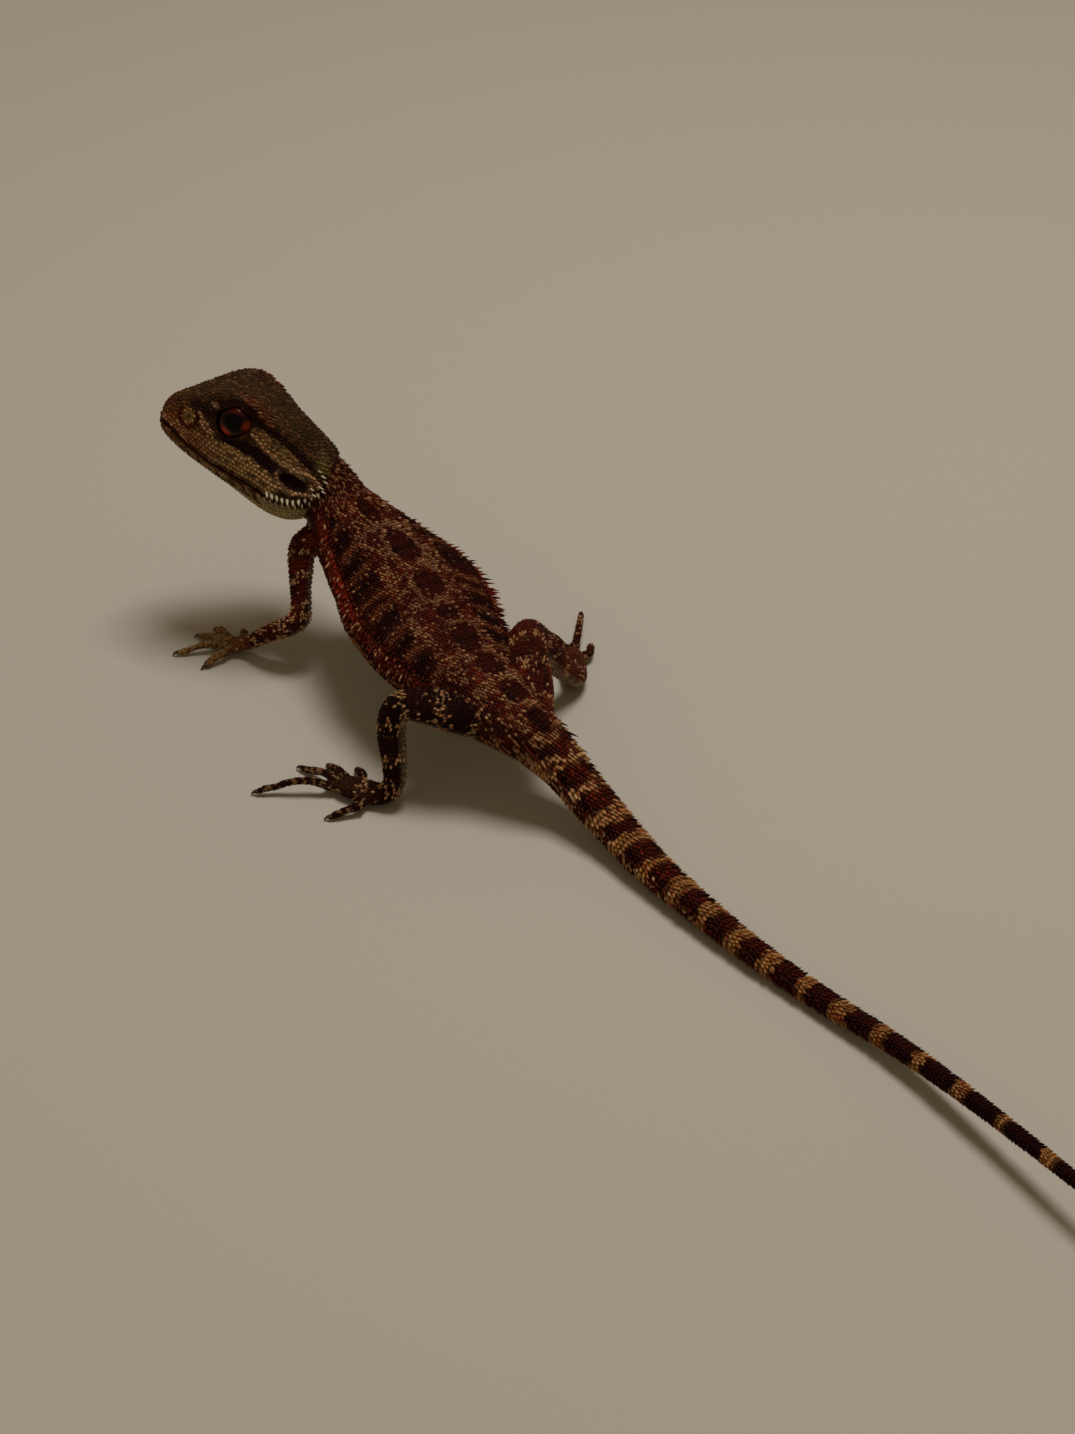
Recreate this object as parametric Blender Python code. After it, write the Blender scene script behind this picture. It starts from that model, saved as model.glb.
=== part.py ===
"""A young bearded dragon as a still, life-size model: one faceted solid for each part of the body.

The animal faces -Y with its left side toward +X and stands on z = 0. Sizes below are in
millimetres and are scaled to metres when a mesh is made. Rows of numbers are stations along
a line: a centre and the half sizes of the cross-section there.
"""
import math

import bmesh
import bpy
from mathutils import Matrix, Vector
from mathutils.bvhtree import BVHTree

MM = 0.001
GAP = 0.3  # clear space between neighbouring pieces
STANCE_CENTRE = Vector((-1.74, 22.21, 0.0))  # middle of the whole animal's footprint
REACH = 5.0  # how far rays look for the edge of a palm

# Head: its own frame has the nose toward -Y, and it is turned to the animal's left and raised.
HEAD_AT = Vector((1.0, -42.0, 24.0))
HEAD_YAW, HEAD_PITCH, HEAD_ROLL = (math.radians(a) for a in (50.0, 17.0, 12.0))
HEAD_SIDES = 28
EYE_CENTRE = Vector((3.9, -10.1, 3.4))
EYE_RADIUS = 2.5
EAR_CENTRE = Vector((8.0, -1.6, -0.9))
EAR_RADII = Vector((1.3, 2.0, 1.1))

BODY_SIDES = 20
TAIL_SIDES = 12
LIMB_SIDES = 10
DIGIT_SIDES = 8
BODY_STEP = 2.8
TAIL_STEP = 3.4
LIMB_STEP = 1.8
PALM_STEP = 1.0
DIGIT_STEP = 1.0

# Head stations: y, crown z, brow (x, z), cheek (x, z), lip (x, z), chin z.
HEAD_ROWS = (
    (-20.0, 0.9, 0.7, 0.7, 1.1, -0.2, 0.8, -1.1, -1.6),
    (-19.2, 2.2, 1.7, 1.9, 2.3, 0.2, 2.1, -1.5, -2.4),
    (-17.6, 3.3, 2.4, 3.1, 3.3, 0.7, 3.1, -1.9, -3.3),
    (-15.6, 4.6, 3.1, 4.6, 4.2, 1.0, 4.0, -2.3, -4.1),
    (-13.6, 5.7, 4.2, 6.0, 5.0, 1.4, 4.7, -2.6, -4.7),
    (-11.6, 6.5, 5.2, 7.0, 5.7, 1.8, 5.3, -2.9, -5.3),
    (-9.4, 6.7, 5.5, 7.1, 6.2, 1.5, 5.8, -3.3, -6.0),
    (-7.0, 6.1, 5.2, 5.9, 6.7, 0.9, 6.3, -3.8, -6.9),
    (-4.5, 5.1, 4.7, 4.5, 7.0, -0.1, 6.8, -4.5, -7.7),
    (-2.0, 4.0, 4.1, 3.0, 7.1, -1.1, 6.9, -5.0, -8.1),
    (0.2, 3.0, 3.6, 2.0, 6.3, -1.8, 6.1, -5.2, -7.7),
    (1.9, 2.1, 2.9, 1.2, 4.8, -2.1, 4.6, -4.8, -6.4),
    (2.8, 1.6, 2.3, 0.7, 3.5, -2.0, 3.3, -4.0, -5.2),
)
HEAD_SCALE = 0.95
# Mouth line in the head's frame, from in front of the snout to the corner and down the throat.
MOUTH_LINE = ((-22.0, -0.9), (-16.0, -1.2), (-11.0, -1.9), (-5.0, -2.9), (-3.6, -4.6), (-2.4, -8.0))

# Trunk and tail stations: x, y, z, half width, height above, height below, roll in degrees.
NECK_BEHIND_HEAD = (0.4, 3.0, -2.0)
NECK_IN_HEAD = (0.2, 0.0, -1.2)
SPINE_ROWS = (
    (-0.3, -38.4, 19.2, 4.6, 3.9, 4.6, 7.0),
    (-0.9, -35.4, 16.8, 6.0, 4.6, 5.4, 4.0),
    (-1.6, -30.2, 14.8, 7.8, 5.2, 5.9, 2.0),
    (-2.0, -24.0, 13.2, 9.3, 5.5, 6.4, 0.0),
    (-0.9, -16.0, 12.4, 8.5, 5.3, 6.4, 0.0),
    (-0.5, -8.0, 11.9, 6.5, 4.8, 5.4, 0.0),
    (-1.2, -3.8, 11.0, 5.4, 4.4, 4.7, 0.0),
    (-2.5, -0.2, 9.8, 4.4, 4.0, 4.1, 0.0),
    (-4.0, 2.9, 7.9, 3.4, 3.3, 3.4, 0.0),
    (-5.3, 7.0, 5.4, 2.8, 2.7, 2.8, 0.0),
    (-6.3, 13.3, 3.1, 2.45, 2.3, 2.5, 0.0),
    (-6.7, 20.2, 2.1, 2.15, 2.0, 2.3, 0.0),
    (-7.5, 28.2, 1.8, 1.8, 1.7, 2.0, 0.0),
    (-8.8, 37.0, 1.5, 1.5, 1.5, 1.7, 0.0),
    (-10.7, 46.0, 1.4, 1.3, 1.3, 1.6, 0.0),
    (-12.6, 56.0, 2.2, 1.12, 1.12, 1.2, 0.0),
    (-13.4, 66.5, 3.5, 0.95, 0.95, 0.95, 0.0),
    (-13.9, 79.0, 4.9, 0.8, 0.8, 0.8, 0.0),
    (-14.3, 90.0, 5.9, 0.58, 0.58, 0.58, 0.0),
    (-14.5, 99.5, 6.6, 0.3, 0.3, 0.3, 0.0),
)
# Slices of the spine: name, first and last station, counted with the two in the head.
SPINE_PARTS = (
    ("neck", 0.7, 2.9, BODY_SIDES, 2.0),
    ("chest", 2.9, 4.6, BODY_SIDES, BODY_STEP),
    ("belly", 4.6, 6.6, BODY_SIDES, BODY_STEP),
    ("hips", 6.6, 9.7, BODY_SIDES, BODY_STEP),
    ("tail_root", 9.7, 12.0, 16, 2.8),
    ("tail_fore", 12.0, 14.0, TAIL_SIDES, TAIL_STEP),
    ("tail_middle", 14.0, 16.0, TAIL_SIDES, TAIL_STEP),
    ("tail_rear", 16.0, 18.5, TAIL_SIDES, TAIL_STEP),
    ("tail_tip", 18.5, 21.0, TAIL_SIDES, TAIL_STEP),
)

# Limb stations: x, y, z, half width, half height. The last rows are the palm, which lies flat.
ARM_ROWS = {
    "left": (
        (2.6, -37.2, 16.2, 2.1, 2.2),
        (4.9, -38.4, 14.9, 1.8, 1.9),
        (6.1, -37.2, 12.0, 1.5, 1.6),
        (6.9, -35.9, 9.7, 1.35, 1.4),
        (7.7, -34.8, 7.6, 1.4, 1.45),
        (9.0, -35.4, 6.4, 1.35, 1.4),
        (10.8, -37.5, 4.7, 1.25, 1.25),
        (12.3, -40.3, 2.2, 1.05, 1.05),
        (13.4, -42.2, 1.1, 1.5, 0.9),
        (14.2, -43.4, 0.8, 1.2, 0.7),
    ),
    "right": (
        (-4.0, -36.0, 15.8, 2.1, 2.2),
        (-6.6, -36.0, 14.0, 1.8, 1.9),
        (-8.0, -34.8, 11.6, 1.5, 1.6),
        (-9.0, -33.8, 9.4, 1.35, 1.4),
        (-9.9, -33.0, 7.4, 1.4, 1.45),
        (-11.0, -33.8, 5.8, 1.35, 1.4),
        (-12.2, -36.0, 4.0, 1.2, 1.2),
        (-13.2, -39.2, 1.9, 1.05, 1.0),
        (-14.1, -41.1, 1.1, 1.5, 0.9),
        (-14.8, -42.4, 0.8, 1.2, 0.7),
    ),
}
LEG_ROWS = {
    "left": (
        (0.4, -2.0, 10.6, 2.5, 2.6),
        (3.8, -4.4, 11.6, 2.5, 2.6),
        (6.6, -6.6, 12.2, 2.1, 2.2),
        (8.8, -8.2, 11.7, 1.7, 1.8),
        (9.8, -8.0, 9.2, 1.7, 1.8),
        (10.3, -6.7, 6.0, 1.6, 1.6),
        (10.9, -5.8, 3.0, 1.4, 1.4),
        (12.1, -6.8, 1.5, 1.5, 1.4),
        (13.9, -9.3, 1.35, 1.7, 1.35),
        (15.1, -11.1, 1.2, 1.3, 1.1),
    ),
    "right": (
        (-3.0, 0.4, 9.6, 3.0, 3.1),
        (-5.7, -3.4, 11.4, 2.9, 3.0),
        (-8.0, -7.6, 13.2, 2.4, 2.6),
        (-9.8, -10.3, 13.2, 2.1, 2.2),
        (-12.2, -11.5, 10.2, 2.0, 2.1),
        (-15.0, -12.0, 6.0, 1.6, 1.6),
        (-17.6, -12.8, 3.0, 1.5, 1.5),
        (-18.8, -14.3, 1.5, 1.7, 1.4),
        (-20.0, -16.8, 1.35, 1.8, 1.35),
        (-20.9, -18.8, 1.2, 1.3, 1.1),
    ),
}
# Joints of the limbs, as station numbers: elbow or knee, wrist or ankle.
ARM_JOINTS = (4.0, 6.9)
LEG_JOINTS = (3.2, 6.4)
# Digits, thumb side first: turn from the palm's line in degrees at the root and at the tip
# (thumb side positive), reach, and where along the palm they start (0 middle, 1 end).
HAND_DIGITS = (
    (66.0, 54.0, 2.2, -0.2),
    (34.0, 28.0, 3.0, 0.4),
    (7.0, 2.0, 4.0, 0.7),
    (-30.0, -34.0, 5.2, 0.4),
    (-50.0, -66.0, 3.4, -0.5),
)
FOOT_DIGITS = {
    "left": (
        (50.0, 40.0, 2.8, -0.1),
        (30.0, 25.0, 3.8, 0.3),
        (14.0, 6.0, 6.0, 0.7),
        (-18.0, -30.0, 9.2, 0.4),
        (-44.0, -38.0, 4.4, -1.0),
    ),
    "right": (
        (50.0, 44.0, 2.8, -0.1),
        (32.0, 28.0, 4.2, 0.4),
        (17.0, 16.0, 5.8, 0.7),
        (-18.0, -11.0, 9.0, 0.4),
        (-30.0, -4.0, 3.6, -0.5),
    ),
}

# Along a digit: part of its reach, height of its middle and radius there.
DIGIT_PROFILE = (
    (0.00, 0.90, 0.42), (0.20, 1.35, 0.50), (0.50, 1.00, 0.48), (0.74, 0.42, 0.44),
    (0.87, 0.58, 0.32), (1.00, 0.20, 0.14),
)
ROOT_NUDGE = 0.1  # a digit's root moves out in these steps until it is clear of the palm
SHORT_DIGIT = 5.0  # digits with a longer reach than this arch higher and are thicker
DIGIT_ARCH = 0.2
DIGIT_SWELL = 0.03

HIDE = ("hide", (0.20, 0.07, 0.04, 1.0), 0.75, 0.0)
EYE = ("eye", (0.16, 0.05, 0.02, 1.0), 0.12, 0.0)


def clear_scene():
    """Start from nothing."""
    for thing in list(bpy.data.objects):
        bpy.data.objects.remove(thing, do_unlink=True)


def material(label, colour, roughness, metallic):
    """One Principled material, made once."""
    found = bpy.data.materials.get(label)
    if found:
        return found
    made = bpy.data.materials.new(label)
    made.use_nodes = True
    shader = made.node_tree.nodes["Principled BSDF"]
    shader.inputs["Base Color"].default_value = colour
    shader.inputs["Roughness"].default_value = roughness
    shader.inputs["Metallic"].default_value = metallic
    return made


def solid(name, points, faces, finish):
    """A named mesh object from points in millimetres, facing out and shaded smooth."""
    mesh = bpy.data.meshes.new(name)
    mesh.from_pydata([(Vector(p) - STANCE_CENTRE) * MM for p in points], [], faces)
    work = bmesh.new()
    work.from_mesh(mesh)
    bmesh.ops.triangulate(work, faces=work.faces[:])
    bmesh.ops.recalc_face_normals(work, faces=work.faces[:])
    work.to_mesh(mesh)
    work.free()
    mesh.shade_smooth()
    mesh.set_sharp_from_angle(angle=math.radians(50.0))
    mesh.materials.append(material(*finish))
    thing = bpy.data.objects.new(name, mesh)
    bpy.context.scene.collection.objects.link(thing)
    return thing


def dense(rows, per=14):
    """Catmull-Rom samples between station rows, with the end rows doubled."""
    table = [rows[0], *rows, rows[-1]]
    samples = []
    for before, start, end, after in zip(table, table[1:], table[2:], table[3:]):
        for step in range(per):
            t = step / per
            samples.append(tuple(
                0.5 * (2 * b + (c - a) * t + (2 * a - 5 * b + 4 * c - d) * t * t
                       + (3 * b - a - 3 * c + d) * t ** 3)
                for a, b, c, d in zip(before, start, end, after)))
    samples.append(tuple(rows[-1]))
    return samples


class Line:
    """A smooth line through station rows, read by the distance along it."""

    def __init__(self, rows, per=14):
        self.per = per
        self.joints = []
        self.rows = dense(rows, per)
        self.along = [0.0]
        for a, b in zip(self.rows, self.rows[1:]):
            self.along.append(self.along[-1] + (Vector(b[:3]) - Vector(a[:3])).length)

    def distance(self, station):
        """How far along the line a station is; its number may have a fraction."""
        place = station * self.per
        low = min(int(place), len(self.along) - 2)
        part = place - low
        return self.along[low] * (1 - part) + self.along[low + 1] * part

    def row(self, distance):
        """The row at a distance along the line."""
        distance = min(max(distance, 0.0), self.along[-1])
        low = 0
        while low < len(self.along) - 2 and self.along[low + 1] < distance:
            low += 1
        span = self.along[low + 1] - self.along[low] or 1.0
        part = (distance - self.along[low]) / span
        return [a * (1 - part) + b * part for a, b in zip(self.rows[low], self.rows[low + 1])]

    def centre(self, distance):
        return Vector(self.row(distance)[:3])

    def tangent(self, distance):
        """Unit direction of the line."""
        return (self.centre(distance + 0.4) - self.centre(distance - 0.4)).normalized()

    def facing(self, distance):
        """Which way a cross-section faces: two pieces that meet at a joint face the same way there."""
        near = min(self.joints, key=lambda joint: abs(joint - distance), default=distance)
        return self.tangent(near if abs(near - distance) < GAP else distance)

    def spread(self, first, last, step):
        """Even distances from first to last, about one step apart."""
        count = max(2, round((last - first) / step) + 1)
        return [first + (last - first) * k / (count - 1) for k in range(count)]


def upright_side(tangent):
    """The level direction square to a tangent, toward the animal's left when it points back."""
    return tangent.cross(Vector((0, 0, 1))).normalized()


def ring(centre, side, up, width, above, below, sides, grow=0.0):
    """Points of a rounded cross-section, none of them under the floor."""
    points = []
    for k in range(sides):
        turn = math.tau * (k + 0.5) / sides
        height = above if math.sin(turn) > 0 else below
        point = (centre + side * ((width + grow) * math.cos(turn))
                 + up * ((height + grow) * math.sin(turn)))
        point.z = max(point.z, -grow)
        points.append(point)
    return points


def tube(rings):
    """Points and faces of a closed tube through rings, with a fan on each end."""
    sides = len(rings[0])
    points = [point for loop in rings for point in loop]
    faces = []
    for r in range(len(rings) - 1):
        for k in range(sides):
            a, b = r * sides + k, r * sides + (k + 1) % sides
            faces.append((a, a + sides, b + sides, b))
    for loop, first, turn in ((rings[0], 0, 1), (rings[-1], (len(rings) - 1) * sides, -1)):
        points.append(sum(loop, Vector()) / sides)
        hub = len(points) - 1
        faces += [(hub, *(first + k, first + (k + 1) % sides)[::turn]) for k in range(sides)]
    return points, faces


def head_frame():
    """Turns and places the head's own frame in the animal's."""
    turn = (Matrix.Rotation(HEAD_YAW, 4, "Z") @ Matrix.Rotation(-HEAD_PITCH, 4, "X")
            @ Matrix.Rotation(-HEAD_ROLL, 4, "Y"))
    return Matrix.Translation(HEAD_AT) @ turn @ Matrix.Scale(HEAD_SCALE, 4)


def head_section(row, grow=0.0):
    """One closed cross-section of the head, smoothed through crown, brow, cheek, lip and chin."""
    y, crown, brow_x, brow_z, cheek_x, cheek_z, lip_x, lip_z, chin = row
    half = ((0.45 * brow_x, crown), (brow_x, brow_z), (cheek_x, cheek_z), (lip_x, lip_z),
            (0.5 * lip_x, chin + 0.12 * (lip_z - chin)))
    loop = [(0.0, crown), *half, (0.0, chin), *((-x, z) for x, z in reversed(half))]
    count = len(loop)
    points = []
    for k in range(HEAD_SIDES):
        place = k * count / HEAD_SIDES
        low, t = int(place), place - int(place)
        a, b, c, d = (loop[(low + j) % count] for j in (-1, 0, 1, 2))
        x, z = (0.5 * (2 * q + (r - p) * t + (2 * p - 5 * q + 4 * r - s) * t * t
                       + (3 * q - p - 3 * r + s) * t ** 3) for p, q, r, s in zip(a, b, c, d))
        out = Vector((x, 0.0, z - 0.5 * (crown + chin)))
        out = out + out.normalized() * grow if out.length else out
        points.append(Vector((out.x, y, out.z + 0.5 * (crown + chin))))
    return points


def head_rings(grow=0.0):
    """Cross-sections of the whole head, snout to nape."""
    place = head_frame()
    line = Line([(0.0, row[0], 0.0, *row[1:]) for row in HEAD_ROWS])
    stops = [line.distance(k) for k in (0, 0.5)] + line.spread(line.distance(1), line.distance(12), 1.25)
    rings = []
    for stop in stops:
        row = line.row(stop)
        rings.append([place @ point for point in head_section((row[1], *row[3:]), grow)])
    return rings


def head_shell(name):
    """The whole head before the mouth, eyes and ears are cut."""
    return solid(name, *tube(head_rings()), HIDE)


def cutter(name, points, faces):
    """A closed mesh that only cuts others."""
    thing = solid(name, points, faces, HIDE)
    thing.hide_render = True
    thing.display_type = "WIRE"
    return thing


def cut(target, tool, operation="DIFFERENCE"):
    """An exact Boolean, kept on its object."""
    step = target.modifiers.new(tool.name, "BOOLEAN")
    step.solver = "EXACT"
    step.operation = operation
    step.object = tool


def ball(centre, radii, rings=10, sides=16):
    """Points and faces of an ellipsoid in the head's frame, its poles along X."""
    place = head_frame()
    points, faces = [], []
    for r in range(1, rings):
        polar = math.pi * r / rings
        for k in range(sides):
            turn = math.tau * k / sides
            out = Vector((math.cos(polar), math.sin(polar) * math.cos(turn), math.sin(polar) * math.sin(turn)))
            points.append(place @ (centre + Vector(a * b for a, b in zip(out, radii))))
    for r in range(rings - 2):
        for k in range(sides):
            a, b = r * sides + k, r * sides + (k + 1) % sides
            faces.append((a, b, b + sides, a + sides))
    for sign, first in ((1, 0), (-1, (rings - 2) * sides)):
        points.append(place @ (centre + Vector((sign * radii[0], 0, 0))))
        faces += [(len(points) - 1, first + k, first + (k + 1) % sides) for k in range(sides)]
    return points, faces


def mouth_prism(name, shift):
    """The space under the mouth line, moved across the line by shift."""
    place = head_frame()
    line = [Vector(p) for p in MOUTH_LINE]
    edge = []
    for k, point in enumerate(line):
        run = line[min(k + 1, len(line) - 1)] - line[max(k - 1, 0)]
        normal = Vector((-run.y, run.x)).normalized()
        edge.append(point + normal * shift)
    outline = edge + [Vector((edge[-1].x, -14.0)), Vector((edge[0].x, -14.0))]
    half = 12.0
    points = [place @ Vector((x, p.x, p.y)) for x in (-half, half) for p in outline]
    count = len(outline)
    faces = [tuple(range(count)), tuple(range(2 * count - 1, count - 1, -1))]
    faces += [(k, (k + 1) % count, (k + 1) % count + count, k + count) for k in range(count)]
    return cutter(name, points, faces)


def build_head():
    """Skull with lower jaw, eyes and ear hollows."""
    skull = head_shell("head")
    jaw = head_shell("jaw")
    cut(skull, mouth_prism("mouth_above", GAP / 2))
    cut(jaw, mouth_prism("mouth_below", -GAP / 2), "INTERSECT")
    for label, sign in (("left", 1), ("right", -1)):
        centre = Vector((sign * EYE_CENTRE.x, EYE_CENTRE.y, EYE_CENTRE.z))
        solid("eye_" + label, *ball(centre, (EYE_RADIUS,) * 3), EYE)
        cut(skull, cutter("socket_" + label, *ball(centre, (EYE_RADIUS + GAP,) * 3)))
        ear = Vector((sign * EAR_CENTRE.x, EAR_CENTRE.y, EAR_CENTRE.z))
        cut(skull, cutter("ear_" + label, *ball(ear, EAR_RADII, 8, 12)))


def spine_line():
    """Neck, trunk and tail in one line that starts inside the head."""
    place = head_frame()
    lead = []
    for spot, grow in ((NECK_IN_HEAD, 0.2), (NECK_BEHIND_HEAD, 0.0)):
        lead.append((*(place @ Vector(spot)), 3.6 + grow, 3.0 + grow, 3.2 + grow, math.degrees(HEAD_ROLL)))
    return Line(lead + list(SPINE_ROWS))


def spine_ring(line, distance, sides, grow=0.0):
    """Cross-section of neck, trunk or tail."""
    row = line.row(distance)
    tangent = line.facing(distance)
    side = upright_side(tangent)
    side = Matrix.Rotation(-math.radians(row[6]), 3, tangent) @ side
    return ring(Vector(row[:3]), side, side.cross(tangent), row[3], row[4], row[5], sides, grow)


def head_room():
    """The head, a gap larger all round, to cut the neck with."""
    rings = head_rings(GAP)
    back = (head_frame().to_3x3() @ Vector((0, 1, 0))).normalized() * GAP
    rings[-1] = [point + back for point in rings[-1]]
    return cutter("head_room", *tube(rings))


def build_spine(line):
    """The slices of neck, trunk and tail, each a gap short of the next."""
    line.joints = [line.distance(part[1]) for part in SPINE_PARTS]
    for name, first, last, sides, step in SPINE_PARTS:
        stops = line.spread(line.distance(first) + GAP / 2, line.distance(last) - GAP / 2, step)
        piece = solid(name, *tube([spine_ring(line, stop, sides) for stop in stops]), HIDE)
        if name == "neck":
            cut(piece, head_room())


def surface(points, faces):
    """A tree of a mesh's faces, for rays."""
    return BVHTree.FromPolygons(points, faces)


def trunk_room(line):
    """Chest to tail root in one piece, a gap larger than the solids, to cut the limbs with."""
    stops = line.spread(line.distance(1.6), line.distance(11.0), BODY_STEP)
    return cutter("trunk_room", *tube([spine_ring(line, stop, BODY_SIDES, GAP) for stop in stops]))


def carried_sides(line, stops, last_side):
    """Side directions along a limb, carried back from the level one at its end."""
    sides = [last_side]
    for stop in reversed(stops[:-1]):
        tangent = line.tangent(stop)
        side = sides[0] - tangent * sides[0].dot(tangent)
        sides.insert(0, side.normalized())
    return sides


def limb_rings(line, stops, fine, sides, grow=0.0):
    """Cross-sections of a limb, turned as the sides carried along it say."""
    rings = []
    for stop in stops:
        row = line.row(stop)
        tangent = line.facing(stop)
        nearest = min(range(len(fine)), key=lambda j: abs(fine[j] - stop))
        side = (sides[nearest] - tangent * sides[nearest].dot(tangent)).normalized()
        rings.append(ring(Vector(row[:3]), side, side.cross(tangent), row[3], row[4], row[4],
                          LIMB_SIDES, grow))
    return rings


def build_limb(label, rows, joints, names, room):
    """Upper, lower and end length of a limb; gives back the palm's line, ends and grown surface."""
    line = Line(rows)
    end = line.along[-1]
    fine = line.spread(0.0, end, 0.5)
    sides = carried_sides(line, fine, upright_side(line.tangent(end - 0.5)))
    breaks = [0.0, line.distance(joints[0]), line.distance(joints[1]), end]
    line.joints = breaks[1:3]
    for k, name in enumerate(names):
        first = breaks[k] + (GAP / 2 if k else 0.0)
        last = breaks[k + 1] - (GAP / 2 if k < 2 else 0.0)
        stops = line.spread(first, last, LIMB_STEP if k < 2 else PALM_STEP)
        piece = solid(f"{name}_{label}", *tube(limb_rings(line, stops, fine, sides)), HIDE)
        if k == 0:
            cut(piece, room)
    grown = limb_rings(line, [first - 2 * GAP, *stops], fine, sides, GAP)
    onward = line.facing(last) * GAP
    grown.append([point + onward for point in grown[-1]])
    return line, first, last, surface(*tube(grown))


def digit_rows(root, start, finish, reach):
    """Stations of a digit that rises a little, comes down, bends sideways and ends in a hooked claw."""
    rows = []
    spot, before = root.copy(), 0.0
    extra = max(0.0, reach - SHORT_DIGIT)
    for part, height, radius in DIGIT_PROFILE:
        heading = start.lerp(finish, part).normalized()
        spot = spot + heading * (reach * (part - before))
        before = part
        lift = DIGIT_ARCH * extra * math.sin(math.pi * part)
        swell = 1.0 + DIGIT_SWELL * extra * math.sin(math.pi * part)
        rows.append((spot.x, spot.y, height + lift, radius * swell))
    return rows


def crowded(grown, root, start):
    """Whether any corner of a digit's root is inside the palm's grown surface."""
    side = upright_side(start)
    corners = ring(root, side, side.cross(start), *[DIGIT_PROFILE[0][2]] * 3, DIGIT_SIDES)
    for corner in corners:
        near, normal = grown.find_nearest(corner)[:2]
        if (corner - near).dot(normal) < 0:
            return True
    return False


def build_digits(label, palm, plan, stem):
    """Five digits fanned round a palm."""
    line, first, last, grown = palm
    sign = 1 if label == "right" else -1
    run = line.tangent(last - 0.5)
    forward = Vector((run.x, run.y, 0.0)).normalized()
    middle = line.centre(0.5 * (first + last))
    for k, (turn_start, turn_end, reach, place) in enumerate(plan):
        start, finish = (Matrix.Rotation(math.radians(a * sign), 3, "Z") @ forward
                         for a in (turn_start, turn_end))
        base = middle + forward * (0.5 * (last - first) * place)
        base.z = DIGIT_PROFILE[0][1]
        hit = grown.ray_cast(base + start * REACH, -start, 2 * REACH)[0] or base
        root = Vector((hit.x, hit.y, base.z))
        while crowded(grown, root, start):
            root += start * ROOT_NUDGE
        root += start * ROOT_NUDGE
        digit = Line(digit_rows(root, start, finish, reach))
        rings = []
        for stop in digit.spread(0.0, digit.along[-1], DIGIT_STEP):
            row = digit.row(stop)
            tangent = digit.tangent(stop)
            side = upright_side(tangent)
            rings.append(ring(Vector(row[:3]), side, side.cross(tangent), *[row[3]] * 3, DIGIT_SIDES))
        solid(f"{stem}_{k + 1}_{label}", *tube(rings), HIDE)


def main():
    """Build the whole animal."""
    clear_scene()
    build_head()
    line = spine_line()
    build_spine(line)
    room = trunk_room(line)
    for label in ("left", "right"):
        arm = build_limb(label, ARM_ROWS[label], ARM_JOINTS, ("upper_arm", "forearm", "hand"), room)
        build_digits(label, arm, HAND_DIGITS, "finger")
        leg = build_limb(label, LEG_ROWS[label], LEG_JOINTS, ("thigh", "shank", "foot"), room)
        build_digits(label, leg, FOOT_DIGITS[label], "toe")


main()
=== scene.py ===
"""Young bearded dragon: the looks of a still, life-size model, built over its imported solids.

Lengths in the shaping code are millimetres in the animal's own frame: nose toward -Y, its left
toward +X, floor at z = 0. Finished meshes are in metres in the frame of the solids.
"""
import math
from types import SimpleNamespace

import bmesh
import bpy
import numpy as np
from mathutils import Matrix, Vector
from mathutils.bvhtree import BVHTree


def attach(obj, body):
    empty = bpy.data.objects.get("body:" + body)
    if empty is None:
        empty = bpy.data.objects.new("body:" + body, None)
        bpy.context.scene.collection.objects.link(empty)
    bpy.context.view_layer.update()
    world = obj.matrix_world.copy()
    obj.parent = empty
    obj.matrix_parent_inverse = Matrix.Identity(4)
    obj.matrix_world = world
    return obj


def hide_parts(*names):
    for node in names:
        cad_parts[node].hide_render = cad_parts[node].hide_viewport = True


bl_info = {
    "name": "Young Bearded Dragon",
    "version": (1, 0, 0),
    "blender": (4, 5, 0),
    "location": "View3D > Sidebar > Dragon",
    "description": "Skin, scales, spines, eyes and claws of a life-size young bearded dragon",
    "category": "Object",
}

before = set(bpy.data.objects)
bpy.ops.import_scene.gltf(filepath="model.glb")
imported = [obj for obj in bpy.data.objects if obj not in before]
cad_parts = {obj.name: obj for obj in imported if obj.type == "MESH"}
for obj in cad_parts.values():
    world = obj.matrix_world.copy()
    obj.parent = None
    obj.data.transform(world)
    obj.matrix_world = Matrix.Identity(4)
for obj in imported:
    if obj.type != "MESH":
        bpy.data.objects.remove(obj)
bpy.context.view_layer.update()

MM = 0.001
BODY = "root"
STANCE_CENTRE = np.array((-1.74, 22.21, 0.0))

# The head's own frame: nose toward -Y, turned to the animal's left and raised.
HEAD_AT = Vector((1.0, -42.0, 24.0))
HEAD_YAW, HEAD_PITCH, HEAD_ROLL = (math.radians(a) for a in (50.0, 17.0, 12.0))
HEAD_SCALE = 0.95
EYE_CENTRE = np.array((3.9, -10.1, 3.4))
EYE_RADIUS = 2.5
HEAD_MATRIX = np.array(
    Matrix.Translation(HEAD_AT) @ Matrix.Rotation(HEAD_YAW, 4, "Z")
    @ Matrix.Rotation(-HEAD_PITCH, 4, "X") @ Matrix.Rotation(-HEAD_ROLL, 4, "Y")
    @ Matrix.Scale(HEAD_SCALE, 4))
HEAD_INVERSE = np.linalg.inv(HEAD_MATRIX)

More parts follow.
